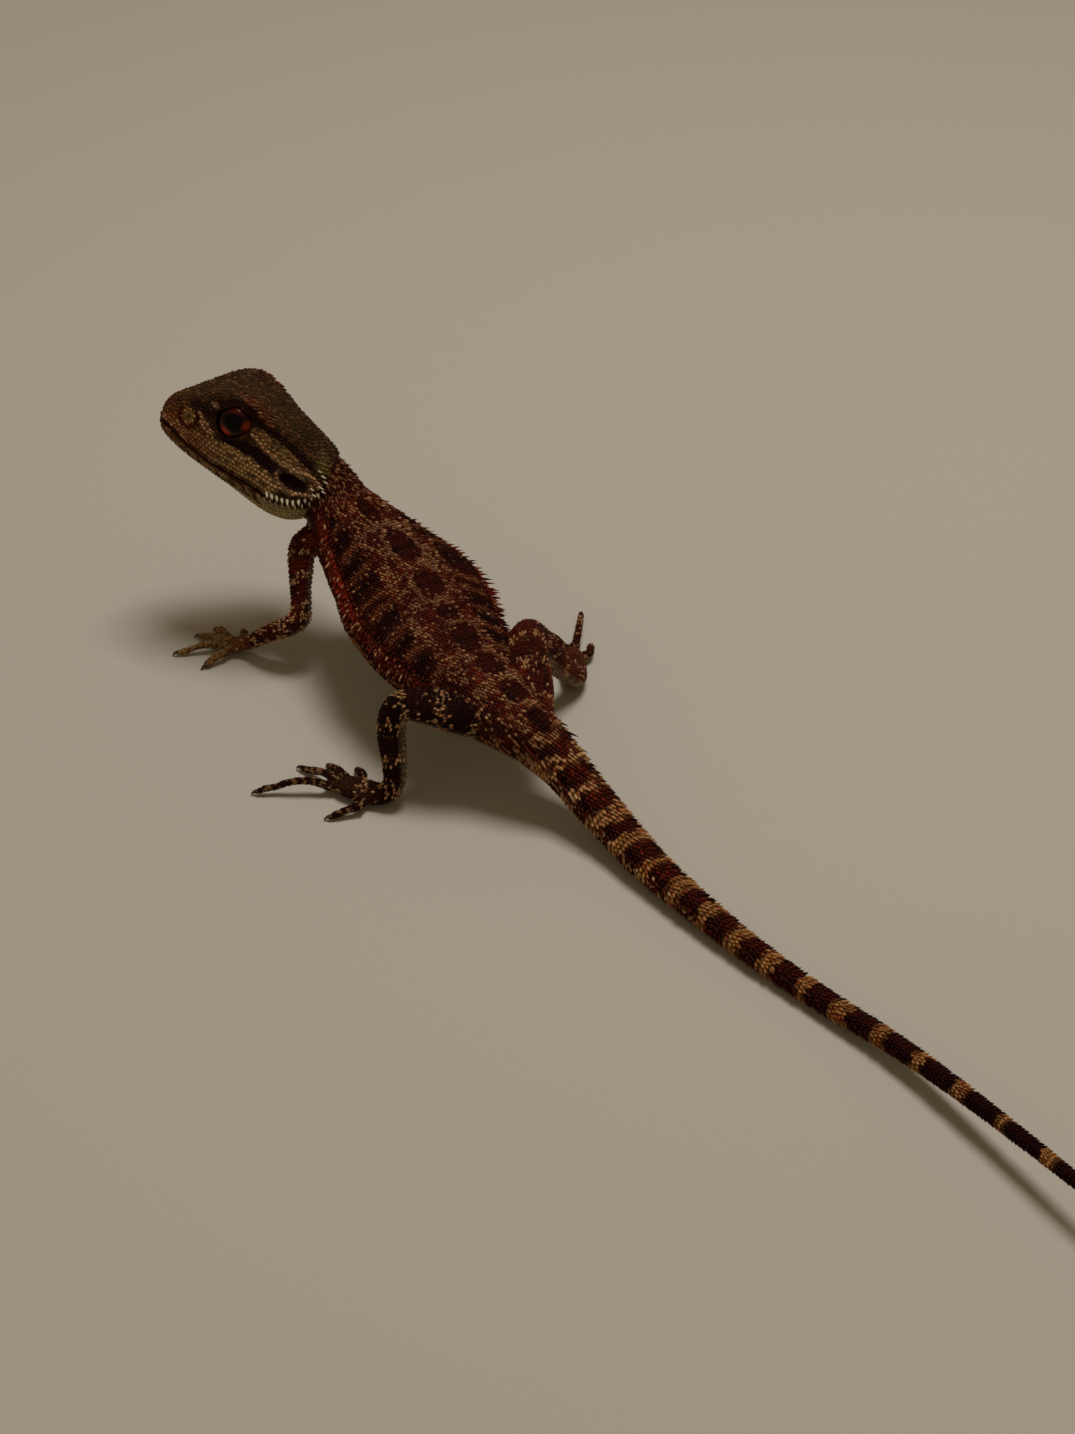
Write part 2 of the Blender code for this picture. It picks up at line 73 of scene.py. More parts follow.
# Stations of the centre lines: x, y, z, half width, height above, height below, roll in degrees.
SPINE_ROWS = (
    (-0.3, -38.4, 19.2, 4.6, 3.9, 4.6, 7.0),
    (-0.9, -35.4, 16.8, 6.0, 4.6, 5.4, 4.0),
    (-1.6, -30.2, 14.8, 7.8, 5.2, 5.9, 2.0),
    (-2.0, -24.0, 13.2, 9.3, 5.5, 6.4, 0.0),
    (-0.9, -16.0, 12.4, 8.5, 5.3, 6.4, 0.0),
    (-0.5, -8.0, 11.9, 6.5, 4.8, 5.4, 0.0),
    (-1.2, -3.8, 11.0, 5.4, 4.4, 4.7, 0.0),
    (-2.5, -0.2, 9.8, 4.4, 4.0, 4.1, 0.0),
    (-4.0, 2.9, 7.9, 3.4, 3.3, 3.4, 0.0),
    (-5.3, 7.0, 5.4, 2.8, 2.7, 2.8, 0.0),
    (-6.3, 13.3, 3.1, 2.45, 2.3, 2.5, 0.0),
    (-6.7, 20.2, 2.1, 2.15, 2.0, 2.3, 0.0),
    (-7.5, 28.2, 1.8, 1.8, 1.7, 2.0, 0.0),
    (-8.8, 37.0, 1.5, 1.5, 1.5, 1.7, 0.0),
    (-10.7, 46.0, 1.4, 1.3, 1.3, 1.6, 0.0),
    (-12.6, 56.0, 2.2, 1.12, 1.12, 1.2, 0.0),
    (-13.4, 66.5, 3.5, 0.95, 0.95, 0.95, 0.0),
    (-13.9, 79.0, 4.9, 0.8, 0.8, 0.8, 0.0),
    (-14.3, 90.0, 5.9, 0.58, 0.58, 0.58, 0.0),
    (-14.5, 99.5, 6.6, 0.3, 0.3, 0.3, 0.0),
)
NECK_LEAD = ((0.2, 0.0, -1.2, 3.8, 3.2, 3.4), (0.4, 3.0, -2.0, 3.6, 3.0, 3.2))
# Limb stations: x, y, z, half width, half height.
LIMB_ROWS = {
    "arm_left": (
        (2.6, -37.2, 16.2, 2.1, 2.2), (4.9, -38.4, 14.9, 1.8, 1.9), (6.1, -37.2, 12.0, 1.5, 1.6),
        (6.9, -35.9, 9.7, 1.35, 1.4), (7.7, -34.8, 7.6, 1.4, 1.45), (9.0, -35.4, 6.4, 1.35, 1.4),
        (10.8, -37.5, 4.7, 1.25, 1.25), (12.3, -40.3, 2.2, 1.05, 1.05), (13.4, -42.2, 1.1, 1.5, 0.9),
        (14.2, -43.4, 0.8, 1.2, 0.7)),
    "arm_right": (
        (-4.0, -36.0, 15.8, 2.1, 2.2), (-6.6, -36.0, 14.0, 1.8, 1.9), (-8.0, -34.8, 11.6, 1.5, 1.6),
        (-9.0, -33.8, 9.4, 1.35, 1.4), (-9.9, -33.0, 7.4, 1.4, 1.45), (-11.0, -33.8, 5.8, 1.35, 1.4),
        (-12.2, -36.0, 4.0, 1.2, 1.2), (-13.2, -39.2, 1.9, 1.05, 1.0), (-14.1, -41.1, 1.1, 1.5, 0.9),
        (-14.8, -42.4, 0.8, 1.2, 0.7)),
    "leg_left": (
        (0.4, -2.0, 10.6, 2.5, 2.6), (3.8, -4.4, 11.6, 2.5, 2.6), (6.6, -6.6, 12.2, 2.1, 2.2),
        (8.8, -8.2, 11.7, 1.7, 1.8), (9.8, -8.0, 9.2, 1.7, 1.8), (10.3, -6.7, 6.0, 1.6, 1.6),
        (10.9, -5.8, 3.0, 1.4, 1.4), (12.1, -6.8, 1.5, 1.5, 1.4), (13.9, -9.3, 1.35, 1.7, 1.35),
        (15.1, -11.1, 1.2, 1.3, 1.1)),
    "leg_right": (
        (-3.0, 0.4, 9.6, 3.0, 3.1), (-5.7, -3.4, 11.4, 2.9, 3.0), (-8.0, -7.6, 13.2, 2.4, 2.6),
        (-9.8, -10.3, 13.2, 2.1, 2.2), (-12.2, -11.5, 10.2, 2.0, 2.1), (-15.0, -12.0, 6.0, 1.6, 1.6),
        (-17.6, -12.8, 3.0, 1.5, 1.5), (-18.8, -14.3, 1.5, 1.7, 1.4), (-20.0, -16.8, 1.35, 1.8, 1.35),
        (-20.9, -18.8, 1.2, 1.3, 1.1)),
}


def place_head(points):
    """Head-frame points in the animal's frame."""
    return np.asarray(points) @ HEAD_MATRIX[:3, :3].T + HEAD_MATRIX[:3, 3]


def into_head(points):
    """Animal-frame points in the head's frame."""
    return np.asarray(points) @ HEAD_INVERSE[:3, :3].T + HEAD_INVERSE[:3, 3]


def unit(vectors):
    """Vectors made one long."""
    vectors = np.asarray(vectors, float)
    return vectors / np.maximum(np.linalg.norm(vectors, axis=-1, keepdims=True), 1e-9)


def head_way(vectors):
    """Directions of the head's frame in the animal's frame."""
    return unit(np.asarray(vectors, float) @ HEAD_MATRIX[:3, :3].T)


def smooth(low, high, value):
    """0 below low, 1 above high, eased between them."""
    t = np.clip((np.asarray(value, float) - low) / (high - low), 0.0, 1.0)
    return t * t * (3 - 2 * t)


def fall(low, high, value):
    """1 below low, 0 above high, eased between them."""
    return 1 - smooth(low, high, value)


def bell(value, middle, spread):
    """1 at the middle, falling to nothing a few spreads away."""
    return np.exp(-((np.asarray(value, float) - middle) / spread) ** 2)


class Way:
    """A centre line with its cross-sections, sampled evenly."""
    STEP = 0.25

    def __init__(self, rows, per=14):
        rows = np.array(rows, float)
        table = np.vstack([rows[:1], rows, rows[-1:]])
        t = (np.arange(per) / per)[:, None]
        fine = [0.5 * (2 * b + (c - a) * t + (2 * a - 5 * b + 4 * c - d) * t ** 2
                       + (3 * b - a - 3 * c + d) * t ** 3)
                for a, b, c, d in zip(table, table[1:], table[2:], table[3:])]
        fine = np.vstack([*fine, rows[-1:]])
        along = np.r_[0, np.cumsum(np.linalg.norm(np.diff(fine[:, :3], axis=0), axis=1))]
        count = max(int(along[-1] / self.STEP), 4)
        self.s = np.linspace(0, along[-1], count)
        self.rows = np.stack([np.interp(self.s, along, column) for column in fine.T], 1)
        self.centre = self.rows[:, :3]
        self.tangent = unit(np.gradient(self.centre, axis=0))
        self.length = along[-1]
        self.level_sides()

    def level_sides(self):
        """Side directions that stay level, turned by the roll in the rows."""
        self.side = unit(np.cross(self.tangent, (0, 0, 1)))
        self.up = np.cross(self.side, self.tangent)
        if self.rows.shape[1] > 6:
            roll = -np.radians(self.rows[:, 6:7])
            self.side, self.up = (self.side * np.cos(roll) - self.up * np.sin(roll),
                                  self.up * np.cos(roll) + self.side * np.sin(roll))

    def carried_sides(self):
        """Side directions carried back from the level one at the end, for limbs."""
        side = unit(np.cross(self.tangent[-2], (0, 0, 1)))
        sides = []
        for tangent in self.tangent[::-1]:
            side = unit(side - tangent * side.dot(tangent))
            sides.append(side)
        self.side = np.array(sides[::-1])
        self.up = np.cross(self.side, self.tangent)
        return self

    def at(self, s, column):
        """A sampled array read at distances along the line."""
        return np.stack([np.interp(s, self.s, part) for part in np.atleast_2d(column.T)], -1)

    def index_at(self, s):
        """Number of the sample at a distance along the line."""
        last = len(self.s) - 1
        return min(int(s / self.length * last), last)

    def sides(self):
        """Half width, height above and height below at each sample."""
        if self.rows.shape[1] > 6:
            return self.rows[:, 3:6]
        return self.rows[:, [3, 4, 4]]


def spine_way():
    """Neck, trunk and tail."""
    lead = [(*place_head([row[:3]])[0], *row[3:], math.degrees(HEAD_ROLL)) for row in NECK_LEAD]
    return Way(lead + list(SPINE_ROWS))


# Names of the solids that the skin replaces: flesh, then fingers and toes.
FLESH_ENDS = {"arm": ("upper_arm", "forearm", "hand"), "leg": ("thigh", "shank", "foot")}
FLESH = ["head", "jaw", "neck", "chest", "belly", "hips", "tail_root", "tail_fore", "tail_middle",
         "tail_rear", "tail_tip"]
DIGITS = []
for _side in ("left", "right"):
    for _limb, _digit in (("arm", "finger"), ("leg", "toe")):
        FLESH += [f"{part}_{_side}" for part in FLESH_ENDS[_limb]]
        DIGITS += [f"{_digit}_{number}_{_side}" for number in range(1, 6)]

# Half width, crown height and chin height of the head along its own length.
HEAD_ALONG = (-20.0, -19.2, -17.6, -15.6, -13.6, -11.6, -9.4, -7.0, -4.5, -2.0, 0.2, 1.9, 2.8)
HEAD_WIDE = (1.1, 2.3, 3.3, 4.2, 5.0, 5.7, 6.2, 6.7, 7.0, 7.1, 6.3, 4.8, 3.5)
HEAD_TOP = (0.9, 2.2, 3.3, 4.6, 5.7, 6.5, 6.7, 6.1, 5.1, 4.0, 3.0, 2.1, 1.6)
HEAD_BASE = (-1.6, -2.4, -3.3, -4.1, -4.7, -5.3, -6.0, -6.9, -7.7, -8.1, -7.7, -6.4, -5.2)
# Height of the mouth line along the head, then the left side's gaze, ear and nostril.
MOUTH_ALONG = (-20.5, -18.2, -15.0, -12.1, -6.0, -3.7)
MOUTH_HEIGHT = (-0.7, -0.8, -1.9, -2.7, -3.3, -3.9)
GAZE = unit((1.0, -0.14, 0.16))
EAR = (-1.3, -1.2)
EAR_SLANT = math.radians(-21.0)
EAR_HALF = (1.9, 0.85)
NOSTRIL = np.array((3.7, -16.2, 1.7))


def digit_way(name):
    """A digit's centre line, read from its solid: even slices from the palm to the claw."""
    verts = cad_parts[name].data.vertices
    points = np.array([v.co for v in verts]) / MM + STANCE_CENTRE
    limb = LIMB_ROWS[("arm_" if name.startswith("finger") else "leg_") + name.rsplit("_", 1)[1]]
    palm = np.array(limb[-2][:3])
    axis = np.linalg.svd(points - points.mean(0))[2][0]
    if (points.mean(0) - palm) @ axis < 0:
        axis = -axis
    place = (points - points.mean(0)) @ axis
    edges = np.linspace(place.min(), place.max(), max(4, int(np.ptp(place) / 1.0)) + 1)
    rows = []
    for low, high in zip(edges, edges[1:]):
        inside = points[(place >= low - 0.15) & (place <= high + 0.15)]
        centre = 0.5 * (inside.max(0) + inside.min(0))
        out = inside - centre
        reach = np.linalg.norm(out - np.outer(out @ axis, axis), axis=1).max()
        half = min(reach, 0.6)
        rows.append((*centre, half, half))
    rows.insert(0, (*(0.35 * np.array(rows[0][:3]) + 0.65 * palm), *rows[0][3:]))
    rows.append((*points[place.argmax()], 0.2, 0.2))
    return Way(rows)


class Region:
    """A part of the body with its centre line: how far round and along it a point lies."""
    BATCH = 4000

    def __init__(self, name, way, atlas):
        self.name, self.way, self.atlas = name, way, np.array(atlas)

    def nearest(self, points):
        """The centre line's sample nearest each point, every other one, read in batches."""
        index = np.empty(len(points), int)
        for start in range(0, len(points), self.BATCH):
            part = points[start:start + self.BATCH]
            gap = ((part[:, None] - self.way.centre[None, ::2]) ** 2).sum(-1)
            index[start:start + self.BATCH] = gap.argmin(1) * 2
        return np.minimum(index, len(self.way.s) - 1)

    def read(self, points):
        """Distance along, turn round (0 up, positive left), arc from the back, and depth ratio."""
        k = self.nearest(points)
        out = points - self.way.centre[k]
        over = np.maximum(np.abs((out * self.way.tangent[k]).sum(1)) - 0.4, 0)
        x, z = (out * self.way.side[k]).sum(1), (out * self.way.up[k]).sum(1)
        wide, above, below = self.way.sides()[k].T
        tall = np.where(z > 0, above, below)
        ratio = np.hypot(x / wide, z / tall) + over / wide
        turn = np.arctan2(x / wide, z / tall)
        return self.way.s[k], turn, turn * (wide + tall) * 0.5, ratio


class HeadRegion(Region):
    """The head, read in its own frame."""

    def read(self, points):
        """Distance from the nose, turn round, arc and depth ratio, as for the other regions."""
        x, y, z = into_head(points).T
        wide, top, base = (np.interp(y, HEAD_ALONG, row) for row in (HEAD_WIDE, HEAD_TOP, HEAD_BASE))
        middle, tall = (top + base) / 2, (top - base) / 2
        across, above = x / wide, (z - middle) / tall
        ratio = np.hypot(across, above) + np.maximum(y - 2.6, 0) * 0.8
        ratio += np.maximum(-20.6 - y, 0)
        turn = np.arctan2(across, above)
        return y + 20.0, turn, turn * (wide + tall) * 0.5, ratio


def build_regions():
    """Every region of the body, with its place on the common unwrap."""
    regions = [Region("spine", spine_way(), (0.0, 0.83)), HeadRegion("head", None, (0.02, 0.49))]
    for k, (name, rows) in enumerate(LIMB_ROWS.items()):
        corner = (0.22 + 0.26 * (k % 2), 0.42 + 0.14 * (k // 2))
        regions.append(Region(name, Way(rows).carried_sides(), corner))
    for k, name in enumerate(DIGITS):
        corner = (0.02 + 0.09 * (k % 10), 0.10 + 0.10 * (k // 10))
        regions.append(Region(name, digit_way(name), corner))
    return regions


REGIONS = build_regions()
SPINE, HEAD, FIRST_LIMB, FIRST_DIGIT = 0, 1, 2, 6  # places in that list
# The unwrap: its share of a map's side to a millimetre, and the patches of a scale and a spine.
UNWRAP = 1 / 152.0
SCALE_PATCH, SPINE_PATCH = 0.0028, 0.0014
CAST_FROM = 1.4  # rays onto the skin of a tube start this far outside its section
NEIGHBOURS = tuple((i - 1, j - 1, k - 1) for i, j, k in np.ndindex(3, 3, 3))


def locate(points):
    """Which region each point belongs to, with its distance along, turn and arc there."""
    points = np.asarray(points, float)
    readings = [region.read(points) for region in REGIONS]
    which = np.array([reading[3] for reading in readings]).argmin(0)
    each = np.arange(len(points))
    s, turn, arc = (np.array([reading[k] for reading in readings])[which, each] for k in range(3))
    return which, s, turn, arc


def hash_noise(cells, seed):
    """A repeatable number from 0 to 1 for each whole-number cell."""
    mixed = cells.astype(np.int64) @ np.array((73856093, 19349663, 83492791)) + seed * 2654435761
    mixed = (mixed ^ (mixed >> 13)) * 1274126177
    return ((mixed ^ (mixed >> 16)) & 0xFFFF) / 65535.0


def noise(points, size, seed=0):
    """Smooth noise from 0 to 1 with blobs about size across."""
    place = np.asarray(points) / size
    low = np.floor(place)
    t = place - low
    t = t * t * (3 - 2 * t)
    total = np.zeros(len(place))
    for corner in np.ndindex(2, 2, 2):
        weight = np.prod(np.where(np.array(corner), t, 1 - t), axis=1)
        total += weight * hash_noise(low + corner, seed)
    return total


def srgb(red, green, blue):
    """Linear colour from the values a painter would mix, 0 to 255."""
    value = np.array((red, green, blue)) / 255.0
    return np.where(value < 0.04045, value / 12.92, ((value + 0.055) / 1.055) ** 2.4)


def mix(under, over, amount):
    """Lay one colour over another."""
    amount = np.asarray(amount)[..., None]
    return under * (1 - amount) + over * amount


# Markings along the back: centre along the spine, half length, sideways centre, half width.
BACK_OVALS = (
    (9.6, 2.9, -0.2, 1.0), (17.2, 3.1, -0.55, 1.50), (25.2, 2.7, -0.65, 1.40),
    (30.8, 1.8, -0.65, 1.10), (35.5, 2.4, -0.75, 1.50), (40.0, 1.5, -0.95, 1.70),
    (43.9, 1.4, -0.4, 1.55), (47.6, 1.4, 0.4, 1.55))
BACK_GAPS = (5.6, 13.3, 21.4, 28.4, 33.0, 37.9, 42.0, 45.7, 49.5)
FLANK_BARS = (8.6, 12.6, 16.2, 21.1, 28.7, 32.6, 36.2)
FLANK_STRIPS = (10.3, 14.5, 17.8, 24.3, 26.7, 30.9, 34.4, 38.2)
TAIL_BANDS = tuple(52.8 + 4.2 * k + 0.003 * k ** 3 for k in range(-1, 20))
# The pale line beside the ovals: distance along the spine and arc from its top.
RIDGE_ALONG = (5, 12, 14, 20, 29)
RIDGE_ASIDE = (1.45, 1.40, 0.95, 1.15, 0.75)
GOLDEN = 0.618  # spreads a count evenly over 0 to 1, to vary one mark from the next


def is_limb(which):
    """True for arms and legs, without their digits."""
    return (which >= FIRST_LIMB) & (which < FIRST_DIGIT)


def mouth_height(y):
    """Height of the mouth line along the head."""
    return np.interp(y, MOUTH_ALONG, MOUTH_HEIGHT)


def fold_head(points):
    """Head-frame points, with those of the right side mirrored to the left."""
    folded = into_head(points)
    folded[:, 0] = np.abs(folded[:, 0])
    return folded


def gap_to(points, centre):
    """Distance of each point from a centre."""
    return np.linalg.norm(points - centre, axis=1)


def beside_eye(folded):
    """1 on the lids, falling to 0 a little way off, for mirrored places on the head."""
    return fall(3.0, 4.6, gap_to(folded, EYE_CENTRE))


def speck(points, cell, seed):
    """A repeatable number from 0 to 1 for the small cell that each point lies in."""
    return hash_noise(np.floor(points / cell), seed)


def chosen(points, share, cell, seed):
    """Picks a share of the scales: 1 for those picked."""
    return (speck(points, cell, seed) < share) * 1.0


def nearest_of(value, marks):
    """Distance to the nearest mark, and which it is."""
    gaps = np.abs(np.asarray(value)[:, None] - np.array(marks)[None])
    return gaps.min(1), gaps.argmin(1)


def tail_band(s, wobble):
    """1 on the pale bands of the tail, 0 on the dark ones; the pale ones narrow toward the tip."""
    away, which = nearest_of(s, TAIL_BANDS)
    half = (0.95 - 0.020 * which) * (0.85 + 0.4 * ((which * GOLDEN) % 1.0))
    return fall(half - 0.25, half + 0.25, away + wobble)


def oval_reach(s, arc, drift):
    """How far out of the nearest oval of the back a point is, in half widths: 1 on its edge."""
    reach = np.full(len(s), 9.0)
    for place, length, middle, width in BACK_OVALS:
        reach = np.minimum(reach, np.hypot((s - place) / length, (arc - middle) / width))
    return reach + 0.30 * drift


def fore_part(s):
    """1 on the front of the trunk, 0 from its middle back."""
    return fall(19.0, 30.0, s)


def tail_rings(points, s, side, low, drift, fine, tints):
    """Tail: pale bands of golden scales, maroon between, with dark spots high on the left and right."""
    fore = fall(54.0, 62.0, s)
    band = tail_band(s + 0.25 * (side - 1.5) * (s < 70), (0.8 + 1.0 * fore) * drift)
    band = band * (1 - 0.9 * chosen(points, 0.45 * fall(54.0, 66.0, s), 0.35, 37))
    gold = mix(tints.gold, tints.cream, fall(55.0, 66.0, s) * 0.35 + 0.25 * fine)
    gold = mix(gold, tints.rust, 0.70 * chosen(points, 0.20, 0.35, 31))
    dusk = mix(tints.maroon, tints.dark, 0.15 + 0.55 * smooth(88.0, 120.0, s))
    warm = 0.45 * chosen(points, 0.35, 0.35, 33) * fall(70.0, 95.0, s)
    dusk = mix(dusk, tints.rust, warm)
    dusk = mix(dusk, tints.dark, 0.85 * bell(low, 55.0, 20.0))
    rings = mix(dusk, gold, band)
    lateral = bell(low, 84.0, 16.0) * fall(66.0, 82.0, s)
    rings = mix(rings, tints.cream, 0.9 * chosen(points, 0.60 * lateral, 0.38, 35))
    return mix(rings, mix(tints.belly, rings, 0.35), smooth(112.0, 135.0, low))


def paint_spine(points, s, turn, arc, tints):
    """Neck, trunk and tail."""
    drift = noise(points, 1.5, 3) - 0.5
    patchy = noise(points, 1.3, 13)
    fine = speck(points, 0.33, 5)
    side, low = np.abs(arc), np.abs(np.degrees(turn))
    wavy = low + 8 * drift
    trunk = smooth(4.0, 8.0, s) * fall(49.0, 52.0, s)
    front = fore_part(s)
    ground = mix(tints.maroon, tints.rust, 0.45 * smooth(0.40, 0.80, noise(points, 1.9, 7)))
    ground = mix(ground, tints.dark, 0.40 * smooth(0.55, 0.8, patchy))
    ground = mix(ground, tints.rust, 0.35 * chosen(points, 0.24, 0.31, 9))
    # Dark ovals with fine cross lines, darkest along their left edge.
    reach = oval_reach(s, arc, drift)
    inside = fall(0.88, 1.06, reach)
    lines = 0.5 + 0.5 * np.sin(math.tau * s / 0.62)
    oval = mix(tints.maroon, tints.dark, 0.08 + 0.42 * lines)
    oval = mix(oval, tints.dark, 0.8 * bell(arc, 0.75, 0.35))
    colour = mix(ground, oval, inside * trunk)
    # Flank: slanting dark bars with warm strips between them.
    flank = smooth(3.2, 4.2, side + drift) * fall(66.0, 74.0, low)
    leaning = s - 0.22 * (side - 6.0) + 0.8 * drift
    bars = bell(nearest_of(leaning, FLANK_BARS)[0], 0.0, 1.10)
    from_strip, number = nearest_of(leaning, FLANK_STRIPS)
    strips = bell(from_strip, 0.0, 0.45) * (0.50 + 0.50 * ((number * GOLDEN) % 1.0))
    strips *= smooth(24.0, 33.0, low) * fall(54.0, 63.0, low)
    barred = mix(tints.maroon, tints.dark, 0.45 + 0.50 * bars)
    colour = mix(colour, barred, 0.95 * flank * trunk)
    warm = mix(tints.rust, tints.tan, 0.35 + 0.3 * fine)
    colour = mix(colour, warm, 0.95 * flank * strips * trunk)
    # Spiny fringe, red in front, and the dark red strip under it.
    fringe = smooth(64.0, 71.0, wavy) * fall(84.0, 92.0, wavy)
    fringe *= smooth(6.0, 9.0, s) * fall(39.0, 43.0, s)
    colour = mix(colour, mix(tints.maroon, tints.fringe, 0.25 + 0.75 * front), 0.85 * fringe)
    under_fringe = smooth(86.0, 92.0, low) * trunk
    colour = mix(colour, mix(tints.dark, tints.maroon, 0.3 + 0.7 * front), 0.8 * under_fringe)
    # Shares of pale scales: the network beside the ovals, their rims and gaps, then the ridge line,
    # the rims of the strips, the fringe, the belly's edge and the hips.
    net = bell(noise(points, 1.3, 15), 0.5, 0.07)
    share = 0.06 + (0.18 + 0.55 * net) * bell(side, 2.9, 1.5)
    share = np.maximum(share, 0.95 * bell(reach, 1.20, 0.15))
    gap = bell(nearest_of(s + 0.5 * drift, BACK_GAPS)[0], 0.0, 0.75) * fall(2.0, 4.6, side)
    share = np.maximum(share, 0.80 * gap) * (0.45 + 0.9 * smooth(0.25, 0.65, patchy))
    share = np.where(inside > 0.5, 0.05, share) * (1 - 0.92 * smooth(3.4, 4.6, side + 0.8 * drift))
    ridge = bell(arc, np.interp(s, RIDGE_ALONG, RIDGE_ASIDE), 0.26)
    ridge = 0.95 * ridge * smooth(4.0, 6.0, s) * fall(27.0, 30.0, s)
    rim = flank * (0.012 + 0.10 * bell(from_strip, 0.55, 0.35))
    belly_edge = 0.80 * bell(low, 99.0, 5.0) * smooth(18.0, 26.0, s) * trunk
    hips = smooth(39.0, 42.0, s) * fall(52.0, 56.0, s) * smooth(3.0, 4.5, side)
    share = trunk * np.maximum.reduce([
        share, ridge, rim, fringe * (0.26 - 0.10 * front), 0.16 * under_fringe * (1 - front),
        belly_edge, 0.30 * hips])
    pale = mix(mix(tints.tan, tints.cream, smooth(0.2, 0.95, fine)), tints.rust, 0.18)
    rosy = mix(tints.fringe, tints.cream, 0.25 + 0.5 * fine)
    pale = mix(pale, rosy, smooth(5.0, 8.5, side) * (1 - 0.4 * hips))
    strength = 0.42 + 0.5 * speck(points, 0.31, 17)
    colour = mix(colour, pale, chosen(points, share, 0.31, 11) * strength)
    # Nape and neck: dark with tan flecks above, paler throat.
    neck = fall(3.5, 7.0, s)
    nape = mix(tints.maroon, tints.dark, 0.35)
    nape = mix(nape, tints.tan, 0.75 * chosen(points, 0.24, 0.33, 21))
    colour = mix(colour, nape, neck)
    colour = mix(colour, tints.chin, neck * smooth(95.0, 115.0, low))
    # Belly.
    under = mix(tints.belly, tints.maroon, 0.30 * smooth(0.5, 0.75, noise(points, 2.6, 19)))
    belly = smooth(106.0, 120.0, wavy) * fall(54.0, 70.0, s) * (1 - neck)
    colour = mix(colour, under, belly)
    return mix(colour, tail_rings(points, s, side, low, drift, fine, tints), smooth(48.5, 51.0, s))


# Pale crossbands of each limb along its length, the share of pale scales on them, and how pale.
ARM_BANDS = (4.5, 7.7, 11.0, 12.8, 14.5, 16.2, 17.9, 19.6)
LIMB_MARKS = {
    "arm_left": (ARM_BANDS, 0.85, 0.9),
    "arm_right": (ARM_BANDS, 0.85, 0.9),
    "leg_left": ((2.0, 6.0, 10.0, 13.2, 17.0, 21.0, 24.8), 0.60, 0.9),
    "leg_right": ((3.0, 7.5, 11.0, 15.5, 18.8, 22.2, 26.0), 0.62, 0.72)}


def paint_limb(points, s, turn, tints, name):
    """Arms and legs: maroon, with pale crossbands and flecks; the left hind leg is nearly black."""
    drift = noise(points, 1.4, 23) - 0.5
    patchy = noise(points, 1.1, 31)
    leg = name.startswith("leg")
    bands, pale_share, strength = LIMB_MARKS[name]
    ground = mix(tints.maroon, tints.rust, 0.5 * smooth(0.4, 0.75, noise(points, 1.7, 24)))
    if name == "leg_left":
        ground = mix(ground, tints.dark, 0.90)
    ground = mix(ground, tints.dark, 0.6 * smooth(0.5, 0.75, patchy))
    if leg:
        end = 0.15 * smooth(21.0, 24.0, s)
    else:
        ground = mix(ground, tints.dark, 0.45 * smooth(10.5, 12.5, s))
        end = 0.75 * smooth(19.0, 21.5, s)
    colour = mix(ground, mix(tints.rust, tints.olive, 0.45), end)
    bent = s - 0.7 * turn * (0.4 if leg else 1.0) + 0.8 * drift
    band = bell(nearest_of(bent, bands)[0], 0.0, 0.55 if leg else 0.42)
    share = 0.04 + pale_share * band * smooth(0.05, 0.35, patchy)
    pale = mix(tints.tan, tints.cream, speck(points, 0.33, 27))
    colour = mix(colour, pale, strength * chosen(points, share, 0.27, 29))
    return mix(colour, tints.belly, 0.45 * smooth(2.1, 2.7, np.abs(turn)))


def paint_digit(points, s, turn, tints, name):
    """Fingers golden olive, toes dark with pale rings; the left ones nearly black."""
    finger, left = name.startswith("finger"), name.endswith("left")
    ring = bell((s / 0.95) % 1.0, 0.5, 0.16)
    fine = speck(points, 0.27, 55)
    if finger:
        base = mix(mix(tints.olive, tints.gold, 0.45), tints.maroon, 0.7 * (fine < 0.22))
    else:
        base = mix(tints.dark, tints.maroon, 0.25 if left else 0.75)
    pale = mix(tints.tan, tints.cream, 0.6 * fine)
    pale = mix(pale, tints.olive, 0.45 if finger else 0.2)
    picked = fine > (0.62 if finger else 0.86) - 0.6 * ring
    colour = mix(base, pale, (0.60 if left and not finger else 0.85) * picked)
    return mix(colour, tints.belly, 0.4 * smooth(2.0, 2.7, np.abs(turn)))


def trail(y, z, route, width):
    """Nearness to a line through points on the side of the head, 1 on it."""
    near = np.zeros(len(y))
    for (y0, z0), (y1, z1) in zip(route, route[1:]):
        run = np.array((y1 - y0, z1 - z0))
        t = np.clip(((y - y0) * run[0] + (z - z0) * run[1]) / run.dot(run), 0, 1)
        near = np.maximum(near, bell(np.hypot(y - y0 - t * run[0], z - z0 - t * run[1]), 0.0, width))
    return near


def ear_reach(y, z):
    """Distance from the middle of the ear in units of its own half sizes."""
    dy, dz = y - EAR[0], z - EAR[1]
    cos, sin = math.cos(EAR_SLANT), math.sin(EAR_SLANT)
    return np.hypot((dy * cos + dz * sin) / EAR_HALF[0], (-dy * sin + dz * cos) / EAR_HALF[1])


